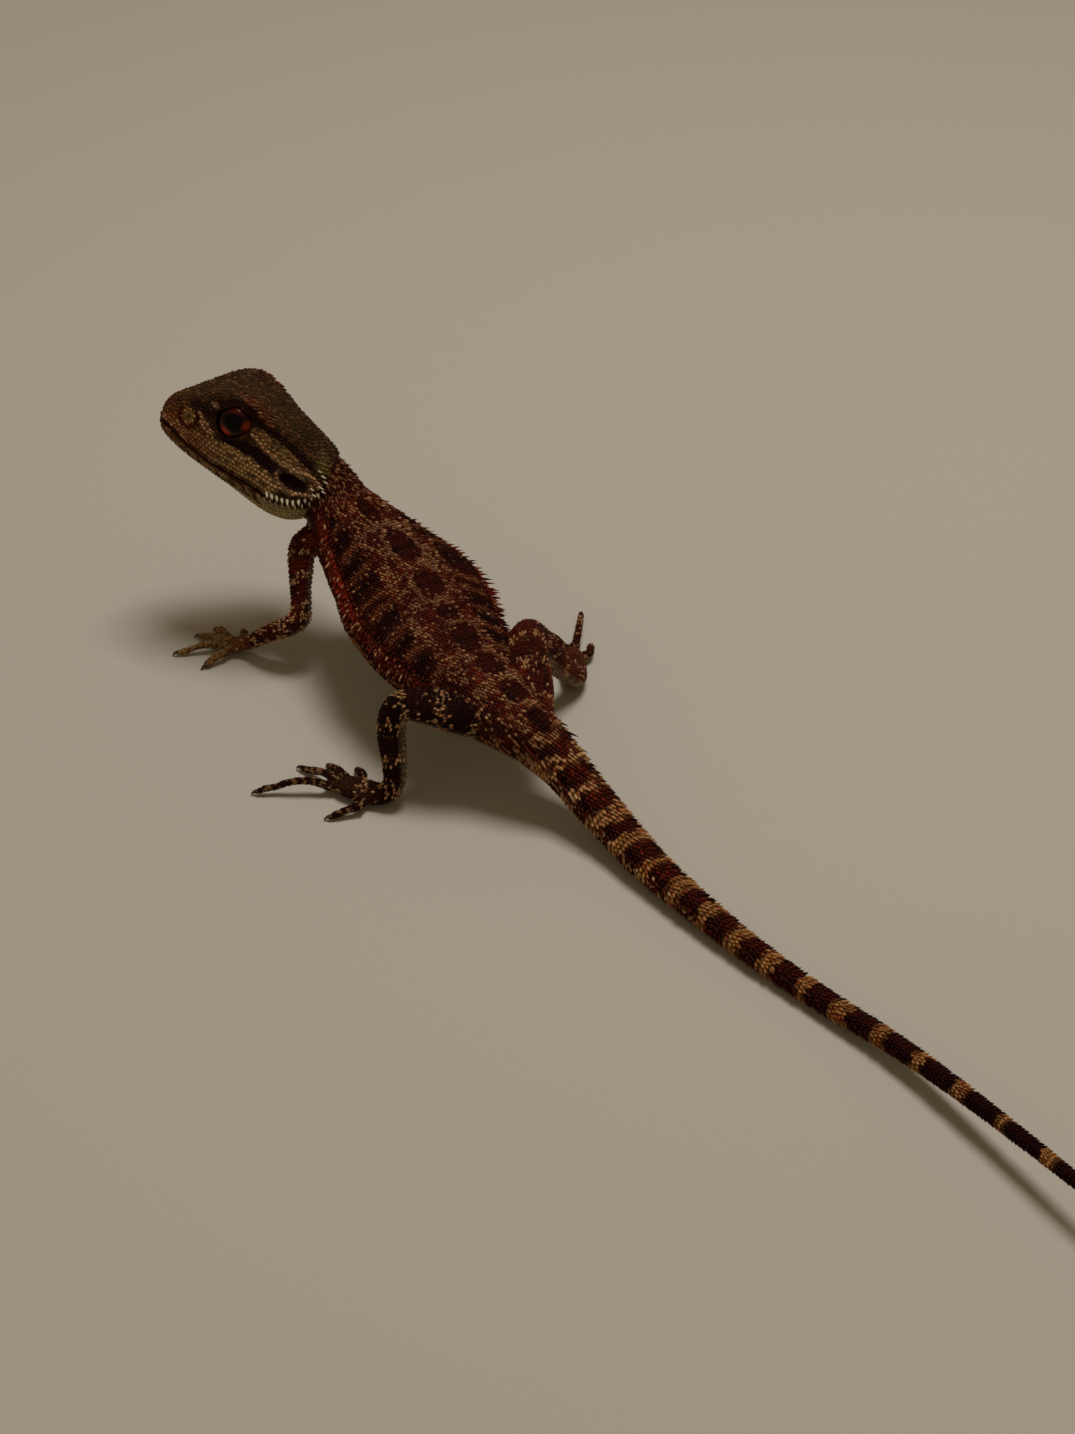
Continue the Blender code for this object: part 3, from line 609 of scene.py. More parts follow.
# Lines on the side of the head, as points along and up its own frame.
BROW_LINE = ((-9.7, 7.1), (-8.3, 6.6), (-7.0, 5.7), (-6.2, 4.9), (-5.7, 4.2))
UPPER_STRIPE = ((-8.2, 4.9), (-5.0, 3.8), (-1.8, 2.0), (1.4, 0.0))
LOWER_STRIPE = ((-10.4, 0.7), (-8.2, 1.2), (-6.6, 0.95), (-5.0, 0.35), (-3.2, -0.6))
PATCH_EDGE = ((-7.8, 3.0), (-5.2, 1.6), (-3.6, 0.8), (-1.8, 0.45), (0.2, 0.0), (2.0, -1.6))
PATCH_TOP = ((-8.0, 4.0), (-6.4, 3.8), (-3.0, 2.4), (-1.0, 1.0), (1.0, -0.2))
EAR_STRIPE = ((-4.6, -1.9), (-2.0, -2.3), (0.2, -2.45), (1.8, -2.6))
MASK_LINE = ((-15.6, 3.4), (-13.2, 3.3), (-12.4, 5.0), (-10.4, 6.0), (-8.4, 5.5))
LONG_STREAK = ((-15.0, 2.7), (-13.6, 1.8), (-12.5, 0.9))
SHORT_STREAK = ((-14.6, 1.7), (-13.2, 0.8))
STREAK_SHADE = ((-15.0, 2.2), (-12.6, 0.6))
# Upper edge of the pale lip rows along the head.
LIP_TOP_ALONG = (-19.0, -15.0, -11.0, -7.0, -3.2)
LIP_TOP_HEIGHT = (0.4, 0.3, 0.7, 0.35, -1.3)


def stroke(folded, route, width, edge, inner):
    """A line on the side of the head: 1 on it, eased by its edge, 0 nearer the middle than inner."""
    ax, y, z = folded.T
    return smooth(*edge, trail(y, z, route, width)) * (ax > inner)


def paint_head(points, tints):
    """The head, in its own frame; both sides alike."""
    folded = fold_head(points)
    ax, y, z = folded.T
    drift = noise(points, 1.1, 41) - 0.5
    fine = speck(points, 0.36, 43)
    above = z - mouth_height(y)
    # Crown: brown, flecked with dark and tan.
    colour = mix(tints.crown, tints.maroon, 0.22 * smooth(0.45, 0.7, noise(points, 1.6, 45)))
    colour = mix(colour, tints.dark, 0.5 * smooth(0.5, 0.95, fine))
    fleck = mix(tints.crown, tints.tan, 0.55)
    colour = mix(colour, fleck, 0.7 * chosen(points, 0.18, 0.36, 47))
    # Snout: warm, streaked.
    snout = fall(-16.5, -12.0, y + 0.5 * z)
    streaks = smooth(0.5, 0.8, noise(points * (1, 1, 2.4), 0.8, 49))
    warm = mix(tints.snout, tints.maroon, 0.8 * streaks)
    colour = mix(colour, warm, 0.75 * snout * (1 - 0.85 * smooth(1.0, 3.0, z)))
    # Dark mask before, over and behind the eye, warm lids, and the brow's keeled patch.
    eye = gap_to(folded, EYE_CENTRE + GAZE * EYE_RADIUS)
    mask = fall(2.5, 3.2, eye + 0.8 * drift)
    mask = np.maximum(mask, trail(y, z, MASK_LINE, 0.75) * (ax > 2.6))
    colour = mix(colour, mix(tints.dark, tints.maroon, 0.35 * fine), 0.92 * mask)
    lid = bell(eye, 2.0, 0.28) * smooth(-0.6, 0.6, drift * 2 + 0.3)
    colour = mix(colour, tints.snout, 0.55 * lid)
    brow = trail(y, z, BROW_LINE, 0.52) * smooth(4.3, 4.7, ax)
    keel = mix(tints.maroon, tints.snout, 0.40)
    keel = mix(keel, tints.tan, 0.65 * smooth(0.55, 0.95, fine))
    colour = mix(colour, keel, smooth(0.30, 0.55, brow))
    # Behind the eye: an olive patch with a cream edge, between two dark stripes.
    lower, upper = (np.interp(y, *zip(*line)) for line in (PATCH_EDGE, PATCH_TOP))
    patch = smooth(lower - 0.1, lower + 0.15, z) * fall(upper - 0.15, upper + 0.1, z)
    patch *= smooth(-8.2, -7.6, y) * fall(0.0, 1.6, y) * (ax > 3.4)
    olive = mix(mix(tints.olive, tints.tan, 0.5), tints.crown, 0.75 * (fine < 0.35))
    colour = mix(colour, olive, patch)
    colour = mix(colour, tints.dark, 0.9 * stroke(folded, UPPER_STRIPE, 0.42, (0.35, 0.6), 3.0))
    colour = mix(colour, tints.dark, 0.96 * stroke(folded, LOWER_STRIPE, 0.82, (0.3, 0.55), 3.6))
    edge = mix(tints.cream, tints.tan, fine * 0.6)
    colour = mix(colour, edge, stroke(folded, PATCH_EDGE, 0.26, (0.4, 0.6), 3.4))
    # Streaks before the eye and the pale scale over its front corner.
    colour = mix(colour, tints.dark, 0.7 * trail(y, z, STREAK_SHADE, 0.7) * (ax > 2.2))
    streak = np.maximum(trail(y, z, LONG_STREAK, 0.26), trail(y, z, SHORT_STREAK, 0.2))
    streak = 0.9 * smooth(0.35, 0.6, streak) * (ax > 2.2)
    colour = mix(colour, mix(tints.tan, tints.cream, 0.5), streak)
    corner = bell(np.hypot((y + 13.3) * 0.6, z - 4.6), 0.0, 0.26)
    colour = mix(colour, tints.cream, 0.9 * corner * (ax > 3.0))
    # Lips: pale keeled rows over brown, warm at the front.
    top = np.interp(y, LIP_TOP_ALONG, LIP_TOP_HEIGHT)
    rows = (z < top + 0.2 * drift) * (above > 0.28) * (ax > 1.2) * fall(-3.6, -2.4, y)
    pale = mix(tints.lip, tints.cream, 0.4 * fine)
    pale = mix(pale, tints.crown, 0.85 * (fine > 0.80))
    front = mix(tints.tan, tints.cream, 0.5 * fine)
    front = mix(tints.snout, front, 0.85 * (fine > 0.30))
    pale = mix(pale, front, fall(-15.0, -10.0, y))
    colour = mix(colour, pale, 0.95 * rows)
    lip = 0.85 * smooth(0.3, 0.6, bell(above, 0.0, 0.38) * (y < -3.6))
    colour = mix(colour, mix(tints.dark, tints.maroon, 0.6), lip)
    below = fall(-0.5, -0.35, above) * smooth(-1.75, -1.5, above) * fall(-4.4, -3.0, y)
    brown = mix(tints.lip, tints.maroon, 0.85 * chosen(points, 0.42, 0.42, 53))
    brown = mix(brown, tints.snout, 0.6 * fall(-17.5, -14.0, y))
    colour = mix(colour, brown, 0.9 * below)
    # Ear, with the pale stripe below it.
    ear, side = ear_reach(y, z), ax > 4.0
    rim = 0.75 * bell(ear, 1.25, 0.18) * side * smooth(0.2, 0.5, drift + 0.45)
    colour = mix(colour, tints.cream, rim)
    colour = mix(colour, tints.cream, 0.85 * stroke(folded, EAR_STRIPE, 0.27, (0.4, 0.7), 4.0))
    colour = mix(colour, tints.ear, fall(0.92, 1.08, ear) * side)
    # Chin and throat.
    throat = fall(-4.7, -4.2, z) * smooth(-5.0, -4.0, y)
    chin = np.maximum(fall(-2.2, -1.7, above), throat)
    colour = mix(colour, mix(tints.chin, tints.olive, 0.35 * fine), chin)
    # Nape patch, the ringed swelling round the nostril, and painted shade in the nostril's hole.
    nape = smooth(0.2, 1.2, y) * smooth(-0.6, 0.4, z) * bell(ax, 3.2, 1.0)
    colour = mix(colour, tints.olive, 0.8 * nape)
    bump = gap_to(folded, NOSTRIL)
    ring = 0.85 * bell(bump, 1.35, 0.30) * (z < 2.4)
    colour = mix(colour, mix(tints.dark, tints.maroon, 0.5), ring)
    colour = mix(colour, mix(tints.olive, tints.gold, 0.45), fall(0.85, 1.05, bump))
    # painted shade: the nostril's hole painted dark
    return mix(colour, tints.dark, fall(0.12, 0.24, bump))


def paint(points, tints):
    """Base colour of skin or scale at points on the body; both read the same markings."""
    which, s, turn, arc = locate(points)
    colour = np.zeros((len(points), 3))
    for k, region in enumerate(REGIONS):
        mine = which == k
        if not mine.any():
            continue
        if k == SPINE:
            colour[mine] = paint_spine(points[mine], s[mine], turn[mine], arc[mine], tints)
        elif k == HEAD:
            colour[mine] = paint_head(points[mine], tints)
        else:
            brush = paint_limb if region.name in LIMB_ROWS else paint_digit
            colour[mine] = brush(points[mine], s[mine], turn[mine], tints, region.name)
    return np.clip(colour, 0, 1)


def coat_depth(points):
    """How far the skin lies inside the solids: the thickness of the scales there."""
    which, s = locate(points)[:2]
    depth = np.full(len(points), 0.14)
    spine = which == SPINE
    depth[spine] = 0.40 - 0.26 * smooth(46.0, 120.0, s[spine])
    depth[which == HEAD] = 0.16
    depth[is_limb(which)] = 0.24
    return depth


WORK = {}  # what one step hands to the next: the finished skin's surface and the roots of the scales

# Swellings under the brow scales, in the head's frame: y, z, distance aside and half height.
BROW_SWELLINGS = (
    (-12.2, 5.9, 4.5, 0.42), (-10.6, 6.6, 5.1, 0.5), (-9.0, 6.5, 5.4, 0.5), (-7.4, 5.8, 5.4, 0.48),
    (-5.9, 4.8, 5.2, 0.42))


def loft(rings):
    """Points and faces of a closed tube through rings of points."""
    rings = np.array(rings)
    count, sides = rings.shape[:2]
    points = np.vstack([rings.reshape(-1, 3), rings[0].mean(0), rings[-1].mean(0)])
    faces = []
    for r in range(count - 1):
        for k in range(sides):
            a, b = r * sides + k, r * sides + (k + 1) % sides
            faces.append((a, a + sides, b + sides, b))
    last = (count - 1) * sides
    for k in range(sides):
        faces.append((count * sides, k, (k + 1) % sides))
        faces.append((count * sides + 1, last + (k + 1) % sides, last + k))
    return points, faces


def flesh_tube(way, sides, grow=0.0, step=0.6):
    """A limb or the spine as one tube of the solids' own sections, kept off the floor."""
    turn = math.tau * (np.arange(sides) + 0.5) / sides
    rings = []
    for s in np.arange(0, way.length + step * 0.5, step):
        k = way.index_at(s)
        wide, above, below = way.sides()[k] + grow
        tall = np.where(np.sin(turn) > 0, above, below)
        ring = (way.centre[k] + np.outer(np.cos(turn) * wide, way.side[k])
                + np.outer(np.sin(turn) * tall, way.up[k]))
        ring[:, 2] = np.maximum(ring[:, 2], 0.0)
        rings.append(ring)
    return loft(rings)


def head_ellipsoid(centre, half, sides=14):
    """A small swelling on the head, given in the head's frame."""
    turn = math.tau * np.arange(sides) / sides
    rings = []
    for polar in np.linspace(0.12, math.pi - 0.12, 9):
        across, along = np.sin(polar) * np.cos(turn), np.sin(polar) * np.sin(turn)
        ring = np.stack([np.full(sides, np.cos(polar)), across, along], 1)
        rings.append(place_head(np.array(centre) + ring * np.array(half)))
    return loft(rings[::-1])


def gaze_frame(sign):
    """Gaze, upward and forward directions of an eye, in the head's frame."""
    gaze = GAZE * np.array((sign, 1, 1))
    up = unit(np.array((0, -0.50, 0.87)) - gaze * gaze.dot((0, -0.50, 0.87)))
    return gaze, up, np.cross(gaze, up)


def lid_ring(sign, lids, opening):
    """The lids of one eye as a ring of flesh over the eyeball, in the head's frame."""
    gaze, up, across = gaze_frame(sign)
    centre = EYE_CENTRE * np.array((sign, 1, 1))
    inner, outer = EYE_RADIUS + 0.10, EYE_RADIUS + lids
    long, tall = opening
    rings = []
    for turn in np.linspace(0, math.tau, 48, endpoint=False):
        cos, sin = math.cos(turn), math.sin(turn)
        corner = 1 + 0.10 * abs(cos) ** 6
        start = math.asin(min(1 / math.hypot(cos / long, sin / tall) * corner / EYE_RADIUS, 0.97))
        out = across * cos + up * sin
        section = []
        for radius, polar in (
                (inner, start), (0.5 * (inner + outer) + 0.05, start - 0.04), (outer, start + 0.13),
                (outer + 0.05, start + 0.32), (outer, 1.25), (outer - 0.1, 1.75), (inner, 1.75),
                (inner, 1.25)):
            section.append(centre + radius * (gaze * math.cos(polar) + out * math.sin(polar)))
        rings.append(place_head(section))
    rings = np.array(rings)
    count, sides = rings.shape[:2]
    faces = []
    for r in range(count):
        a, b = r * sides, (r + 1) % count * sides
        for k in range(sides):
            faces.append((a + k, a + (k + 1) % sides, b + (k + 1) % sides, b + k))
    return rings.reshape(-1, 3), faces


def node_flesh(name, grow):
    """A copy of a solid in millimetres, grown a little so that it meets its neighbours."""
    work = bmesh.new()
    work.from_mesh(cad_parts[name].data)
    bmesh.ops.remove_doubles(work, verts=work.verts[:], dist=1e-6)
    work.normal_update()
    points = np.array([v.co / MM + v.normal * grow for v in work.verts]) + STANCE_CENTRE
    faces = [tuple(v.index for v in face.verts) for face in work.faces]
    work.free()
    return points, faces


def link_object(name, data):
    """An object for a mesh, light or camera, linked to the scene."""
    made = bpy.data.objects.new(name, data)
    bpy.context.scene.collection.objects.link(made)
    return made


def new_object(name, points, faces):
    """A mesh object from arrays, linked to the scene."""
    mesh = bpy.data.meshes.new(name)
    mesh.from_pydata(np.asarray(points).tolist(), [], faces)
    return link_object(name, mesh)


def select_only(thing):
    """Make one object the active and only selected one."""
    bpy.ops.object.select_all(action="DESELECT")
    thing.select_set(True)
    bpy.context.view_layer.objects.active = thing


def face_outward(thing):
    """Turn every face of a closed mesh outward."""
    work = bmesh.new()
    work.from_mesh(thing.data)
    bmesh.ops.recalc_face_normals(work, faces=work.faces[:])
    work.to_mesh(thing.data)
    work.free()


def apply_modifier(thing, kind, **settings):
    """Add a modifier with settings and apply it."""
    select_only(thing)
    step = thing.modifiers.new(kind.title(), kind)
    for key, value in settings.items():
        setattr(step, key, value)
    bpy.ops.object.modifier_apply(modifier=step.name)


def read_vectors(items, key):
    """A vector of each item of a mesh as an array."""
    flat = np.empty(len(items) * 3, np.float32)
    items.foreach_get(key, flat)
    return flat.reshape(-1, 3).astype(float)


def coordinates(mesh):
    """Vertex positions of a mesh as an array."""
    return read_vectors(mesh.vertices, "co")


def put_coordinates(mesh, points):
    """Write vertex positions back."""
    mesh.vertices.foreach_set("co", np.asarray(points, np.float32).ravel())
    mesh.update()


def vertex_normals(mesh):
    """Vertex normals of a mesh as an array."""
    return read_vectors(mesh.vertex_normals, "vector")


def add_colour(mesh, name, values):
    """A colour for each vertex, linear."""
    layer = mesh.attributes.new(name, "FLOAT_COLOR", "POINT")
    rows = np.ones((len(values), 4), np.float32)
    rows[:, :3] = values
    layer.data.foreach_set("color", rows.ravel())


def to_metres(thing):
    """Move a finished mesh from the animal's millimetres to the solids' frame."""
    put_coordinates(thing.data, (coordinates(thing.data) - STANCE_CENTRE) * MM)


def join_parts(parts):
    """Points and faces of several meshes as one loose mesh."""
    points, faces, start = [], [], 0
    for part_points, part_faces in parts:
        points.append(part_points)
        faces += [tuple(index + start for index in face) for face in part_faces]
        start += len(part_points)
    return np.vstack(points), faces


def gather_flesh(sizes):
    """All flesh, overlapping, as one loose mesh in millimetres."""
    parts = [flesh_tube(REGIONS[SPINE].way, 40)]
    parts += [flesh_tube(region.way, 20, 0.03) for region in REGIONS[FIRST_LIMB:FIRST_DIGIT]]
    parts += [flesh_tube(region.way, 12, 0.06, 0.4) for region in REGIONS[FIRST_DIGIT:]]
    parts += [node_flesh("head", 0.08), node_flesh("jaw", 0.12)]
    for sign in (1, -1):
        parts.append(lid_ring(sign, sizes.lids, half_opening(sizes)))
        for y, z, x, thick in BROW_SWELLINGS:
            parts.append(head_ellipsoid((sign * x, y, z), (0.7, 1.15, thick)))
        parts.append(head_ellipsoid(NOSTRIL * np.array((sign * 0.93, 1, 1)), (0.62, 0.75, 0.62)))
    return join_parts(parts)


def refine_face(thing):
    """Split the faces of the head once, where the lids, lips and nostrils need it."""
    work = bmesh.new()
    work.from_mesh(thing.data)
    work.verts.ensure_lookup_table()
    folded = fold_head(np.array([v.co for v in work.verts]))
    ax, y, z = folded.T
    near = np.linalg.norm(folded - EYE_CENTRE - GAZE, axis=1) < 3.9
    near |= (np.abs(z - mouth_height(y)) < 0.6) & (y < -3.2) & (y > -21) & (ax < 8)
    near |= gap_to(folded, NOSTRIL) < 1.2
    near |= (ear_reach(y, z) < 1.6) & (ax > 4) & (ax < 9)
    edges = [edge for edge in work.edges if near[edge.verts[0].index] and near[edge.verts[1].index]]
    bmesh.ops.subdivide_edges(work, edges=edges, cuts=1, use_grid_fill=True)
    bmesh.ops.triangulate(work, faces=[face for face in work.faces if len(face.verts) > 4])
    work.to_mesh(thing.data)
    work.free()


def sculpt(points):
    """Fine forms of the skin: mouth, nostrils, ears and neck folds. Gives how far each point moves out."""
    folded = fold_head(points)
    ax, y, z = folded.T
    which, s = locate(points)[:2]
    head = which == HEAD
    out = np.zeros(len(points))
    above = z - mouth_height(y)
    lips = head & (y < -3.2) & (ax > 0.5)
    out -= lips * 0.26 * bell(above, 0.0, 0.17)
    out += lips * 0.10 * bell(above, 0.42, 0.22)
    ear = ear_reach(y, z)
    at_ear = head & (ax > 4.0)
    out -= at_ear * 0.55 * fall(0.45, 1.0, ear)
    out += at_ear * 0.16 * bell(ear, 1.28, 0.2)
    hole = np.linalg.norm(folded - NOSTRIL - (0.35, 0.05, 0.05), axis=1)
    out -= head * 0.40 * fall(0.12, 0.36, hole)
    neck = (which == SPINE) & (s < 12)
    out += neck * 0.22 * (noise(points * (1.0, 1.0, 0.5), 1.5, 61) - 0.5)
    body = (which == SPINE) & (s < 55)
    out += body * 0.16 * (noise(points, 2.6, 67) - 0.5)
    return out


def build_skin(sizes, tints):
    """One skin over the whole body, inside the solids by the depth of the scales."""
    skin = new_object("skin", *gather_flesh(sizes))
    face_outward(skin)
    apply_modifier(skin, "REMESH", mode="VOXEL", voxel_size=sizes.voxel, adaptivity=0.0)
    apply_modifier(skin, "SMOOTH", factor=0.5, iterations=5)
    refine_face(skin)
    apply_modifier(skin, "SMOOTH", factor=0.35, iterations=2)
    points, normals = coordinates(skin.data), vertex_normals(skin.data)
    points = points - normals * coat_depth(points)[:, None]
    put_coordinates(skin.data, points)
    points = points + normals * sculpt(points)[:, None]
    points[:, 2] = np.maximum(points[:, 2], 0.02)
    put_coordinates(skin.data, points)
    # Skin between the scales: mixed toward dark maroon and darkened, partly its own dark red colour and
    # partly painted shade in the gaps.
    between = mix(paint(points, tints), tints.maroon * 0.6, 0.35)
    add_colour(skin.data, "hue", between * 0.72)
    work = bmesh.new()
    work.from_mesh(skin.data)
    WORK["tree"] = BVHTree.FromBMesh(work)
    work.free()
    WORK["points"], WORK["normals"] = points, vertex_normals(skin.data)
    to_metres(skin)
    skin.data.shade_smooth()
    skin.data.materials.append(hide_material("dragon_skin", 0.62))
    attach(skin, BODY)
    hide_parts(*FLESH, *DIGITS)
    return skin


class Socket:
    """A shader value that can be used in sums; each sum adds its Math node."""

    def __init__(self, tree, link):
        self.tree, self.link = tree, link

    def _math(self, operation, first, second):
        return node(self.tree, "ShaderNodeMath", {"operation": operation}, {0: first, 1: second})

    def __add__(self, other):
        return self._math("ADD", self, other)

    def __radd__(self, other):
        return self._math("ADD", other, self)

    def __sub__(self, other):
        return self._math("SUBTRACT", self, other)

    def __rsub__(self, other):
        return self._math("SUBTRACT", other, self)

    def __mul__(self, other):
        return self._math("MULTIPLY", self, other)

    def __rmul__(self, other):
        return self._math("MULTIPLY", other, self)

    def __pow__(self, other):
        return self._math("POWER", self, other)


def node(tree, kind, settings, inputs, output=0):
    """Add a shader node: settings first, then values or links of its sockets; gives one output."""
    made = tree.nodes.new(kind)
    for key, value in settings.items():
        if key == "stops":
            ramp = made.color_ramp.elements
            while len(ramp) > 1:
                ramp.remove(ramp[-1])
            ramp[0].position, ramp[0].color = value[0][0], (*value[0][1], 1)
            for position, colour in value[1:]:
                ramp.new(position).color = (*colour, 1)
        else:
            setattr(made, key, value)
    for key, value in inputs.items():
        if isinstance(value, Socket):
            tree.links.new(value.link, made.inputs[key])
        else:
            made.inputs[key].default_value = value
    return Socket(tree, made.outputs[output])


def new_material(name, roughness, specular=0.4):
    """A material with its Principled shader and tree."""
    made = bpy.data.materials.new(name)
    made.use_nodes = True
    tree = made.node_tree
    shader = tree.nodes["Principled BSDF"]
    shader.inputs["Roughness"].default_value = roughness
    shader.inputs["Specular IOR Level"].default_value = specular
    return made, tree, shader


def tint_node(tree, colour, amount, over, blend="MIX"):
    """Blend from a colour to the one over it by an amount."""
    made = tree.nodes.new("ShaderNodeMix")
    made.data_type, made.blend_type = "RGBA", blend
    for key, value in ((0, amount), (6, colour), (7, over)):
        if isinstance(value, Socket):
            tree.links.new(value.link, made.inputs[key])
        else:
            made.inputs[key].default_value = value if key == 0 else (*value, 1)
    return Socket(tree, made.outputs[2])


def hide_material(name, roughness):
    """Dry scaly hide: the painted markings, fine mottling and a leathery grain."""
    made, tree, shader = new_material(name, roughness, 0.06)
    place = node(tree, "ShaderNodeTexCoord", {}, {}, "Object")
    hue = node(tree, "ShaderNodeAttribute", {"attribute_name": "hue"}, {}, "Color")
    mottle = node(tree, "ShaderNodeTexNoise", {}, {"Vector": place, "Scale": 2600.0, "Detail": 3.0})
    broad = node(tree, "ShaderNodeTexNoise", {}, {"Vector": place, "Scale": 420.0, "Detail": 2.0})
    light = mottle * 0.7 + broad * 0.5 + 0.40
    grey = node(tree, "ShaderNodeCombineColor", {}, {"Red": light, "Green": light, "Blue": light})
    colour = tint_node(tree, hue, 1.0, grey, "MULTIPLY")
    tree.links.new(colour.link, shader.inputs["Base Color"])
    rough = mottle * 0.25 + (roughness - 0.12)
    tree.links.new(rough.link, shader.inputs["Roughness"])
    grain = node(tree, "ShaderNodeTexVoronoi", {"feature": "F1"}, {"Vector": place, "Scale": 3200.0})
    height = grain * 0.6 + mottle * 0.4
    bump = node(tree, "ShaderNodeBump", {}, {"Strength": 0.35, "Distance": 0.00008, "Height": height})
    tree.links.new(bump.link, shader.inputs["Normal"])
    return made


def cast(origins, directions, reach=3.4):
    """Rays onto the finished skin: which met it squarely, where, and the surface direction there."""
    found, places, normals = [], [], []
    for k, (origin, direction) in enumerate(zip(origins, directions)):
        place, normal, _, _ = WORK["tree"].ray_cast(Vector(origin), Vector(direction), reach)
        if place is not None and -normal.dot(Vector(direction)) > 0.25:
            found.append(k)
            places.append(place)
            normals.append(normal)
    return np.array(found, int), np.array(places).reshape(-1, 3), np.array(normals).reshape(-1, 3)


class Roots:
    """Scale roots gathered region by region: place, surface direction and the way the scale lies."""

    def __init__(self):
        self.place, self.normal, self.lie = [], [], []

    def add(self, place, normal, lie):
        """Add the roots of a region."""
        self.place.append(place)
        self.normal.append(normal)
        self.lie.append(lie)

    def arrays(self):
        """Places, surface directions and lies of all roots so far."""
        return [np.vstack(part) for part in (self.place, self.normal, self.lie)]

    def keep(self, mask):
        """Keep only the roots picked by a mask."""
        self.place, self.normal, self.lie = ([part[mask]] for part in self.arrays())


def scale_pitch(which, s):
    """Spacing of scales along and across the body."""
    along, across = np.full(len(s), 0.36), np.full(len(s), 0.33)
    spine, head, limb = which == SPINE, which == HEAD, is_limb(which)
    here = s[spine]
    along[spine] = 0.44 + 0.22 * smooth(46.0, 60.0, here) - 0.20 * smooth(80.0, 140.0, here)
    across[spine] = 0.42 + 0.12 * smooth(46.0, 56.0, here) - 0.24 * smooth(70.0, 140.0, here)
    along[head], across[head] = 0.40, 0.40
    along[limb], across[limb] = 0.42, 0.40
    return along, across


def ring_roots(roots, index):
    """Rings of scales round a tube, each staggered against the last."""
    way = REGIONS[index].way
    s, ring = 0.0, 0
    origins, directions, lies = [], [], []
    while s < way.length:
        k = way.index_at(s)
        along, across = (part[0] for part in scale_pitch(np.array([index]), way.s[k:k + 1]))
        wide, above, below = way.sides()[k]
        girth = math.pi * (wide + 0.5 * (above + below))
        count = max(6, int(round(girth / across)))
        each = np.arange(count)
        stray = hash_noise(np.stack([each, np.full(count, ring), np.full(count, index)], 1), 71) - 0.5
        turn = math.tau * (each + 0.5 * (ring % 2) + 0.35 * stray) / count
        sin, cos = np.sin(turn), np.cos(turn)
        tall = np.where(cos > 0, above, below)
        flat = np.stack([sin * wide, cos * tall], 1)
        face = unit(np.stack([sin / wide, cos / tall], 1))
        out = face[:, :1] * way.side[k] + face[:, 1:] * way.up[k]
        start = way.centre[k] + flat[:, :1] * way.side[k] + flat[:, 1:] * way.up[k]
        origins.append(start + out * CAST_FROM + way.tangent[k] * (0.3 * along * stray[::-1, None]))
        directions.append(-out)
        lies.append(unit(way.tangent[k] + 0.35 * np.cross(out, way.tangent[k]) * stray[:, None]))
        s += along
        ring += 1
    origins, directions, lies = (np.vstack(part) for part in (origins, directions, lies))
    found, place, normal = cast(origins, directions)
    mine = locate(place)[0] == index
    roots.add(place[mine], normal[mine], lies[found][mine])


def lip_roots(roots):
    """Long keeled scales in rows along both lips."""
    for sign in (1, -1):
        origins, lies = [], []
        for row in range(-3, 5):
            start = -19.2 + 0.27 * (row % 2)
            y = np.arange(start, -3.6 if row < 0 else -2.4, 0.54)
            mouth = mouth_height(y)
            height = 0.27 + 0.50 * row + (0.04 if row >= 0 else 0.0)
            z = mouth + height * np.interp(y, (-19.5, -14.0), (0.62, 1.0))
            origins.append(np.stack([np.full_like(y, 9.5 * sign), y, z], 1))
            slope = np.gradient(mouth, y)
            lies.append(np.stack([np.zeros_like(y), np.ones_like(y), slope], 1))
        origins, lies = np.vstack(origins), np.vstack(lies)
        inward = np.broadcast_to((-sign * 1.0, 0.0, 0.0), origins.shape)
        aim = inward + (0, 0.35, 0) * smooth(-15, -19, origins[:, 1:2])
        found, place, normal = cast(place_head(origins), head_way(aim), 9.0)
        good = (into_head(place)[:, 0] * sign > 0.8) & (gap_to(fold_head(place), EYE_CENTRE) > 3.35)
        roots.add(place[good], normal[good], head_way(lies[found][good]))


def head_lie(points):
    """Scales of the head point back from the snout, spreading a little to the sides."""
    x, y, z = into_head(points).T
    return head_way(np.stack([0.15 * x, np.full_like(y, 4.0), 0.10 * z], 1))


def open_skin(points):
    """True where scales may grow: not in the eye's opening, the ear, the nostril or the mouth line."""
    head = locate(points)[0] == HEAD
    folded = fold_head(points)
    ax, y, z = folded.T
    reach = gap_to(folded, EYE_CENTRE)
    eye = (reach < EYE_RADIUS + 0.42) | ((reach < 3.3) & (WORK["opening"](folded - EYE_CENTRE) < 1.12))
    ear = (ear_reach(y, z) < 1.0) & (ax > 4)
    hole = gap_to(folded, NOSTRIL) < 0.72
    mouth = (np.abs(z - mouth_height(y)) < 0.13) & (y < -3.7)
    return ~(head & (eye | ear | hole | mouth))


def is_clear(place, gap, grid, corner):
    """True when no scale in the cells about a corner cell is nearer than the gap."""
    i, j, k = corner
    limit = gap ** 2
    for di, dj, dk in NEIGHBOURS:
        for other in grid.get((i + di, j + dj, k + dk), ()):
            d0, d1, d2 = place[0] - other[0], place[1] - other[1], place[2] - other[2]
            if d0 * d0 + d1 * d1 + d2 * d2 < limit:
                return False
    return True


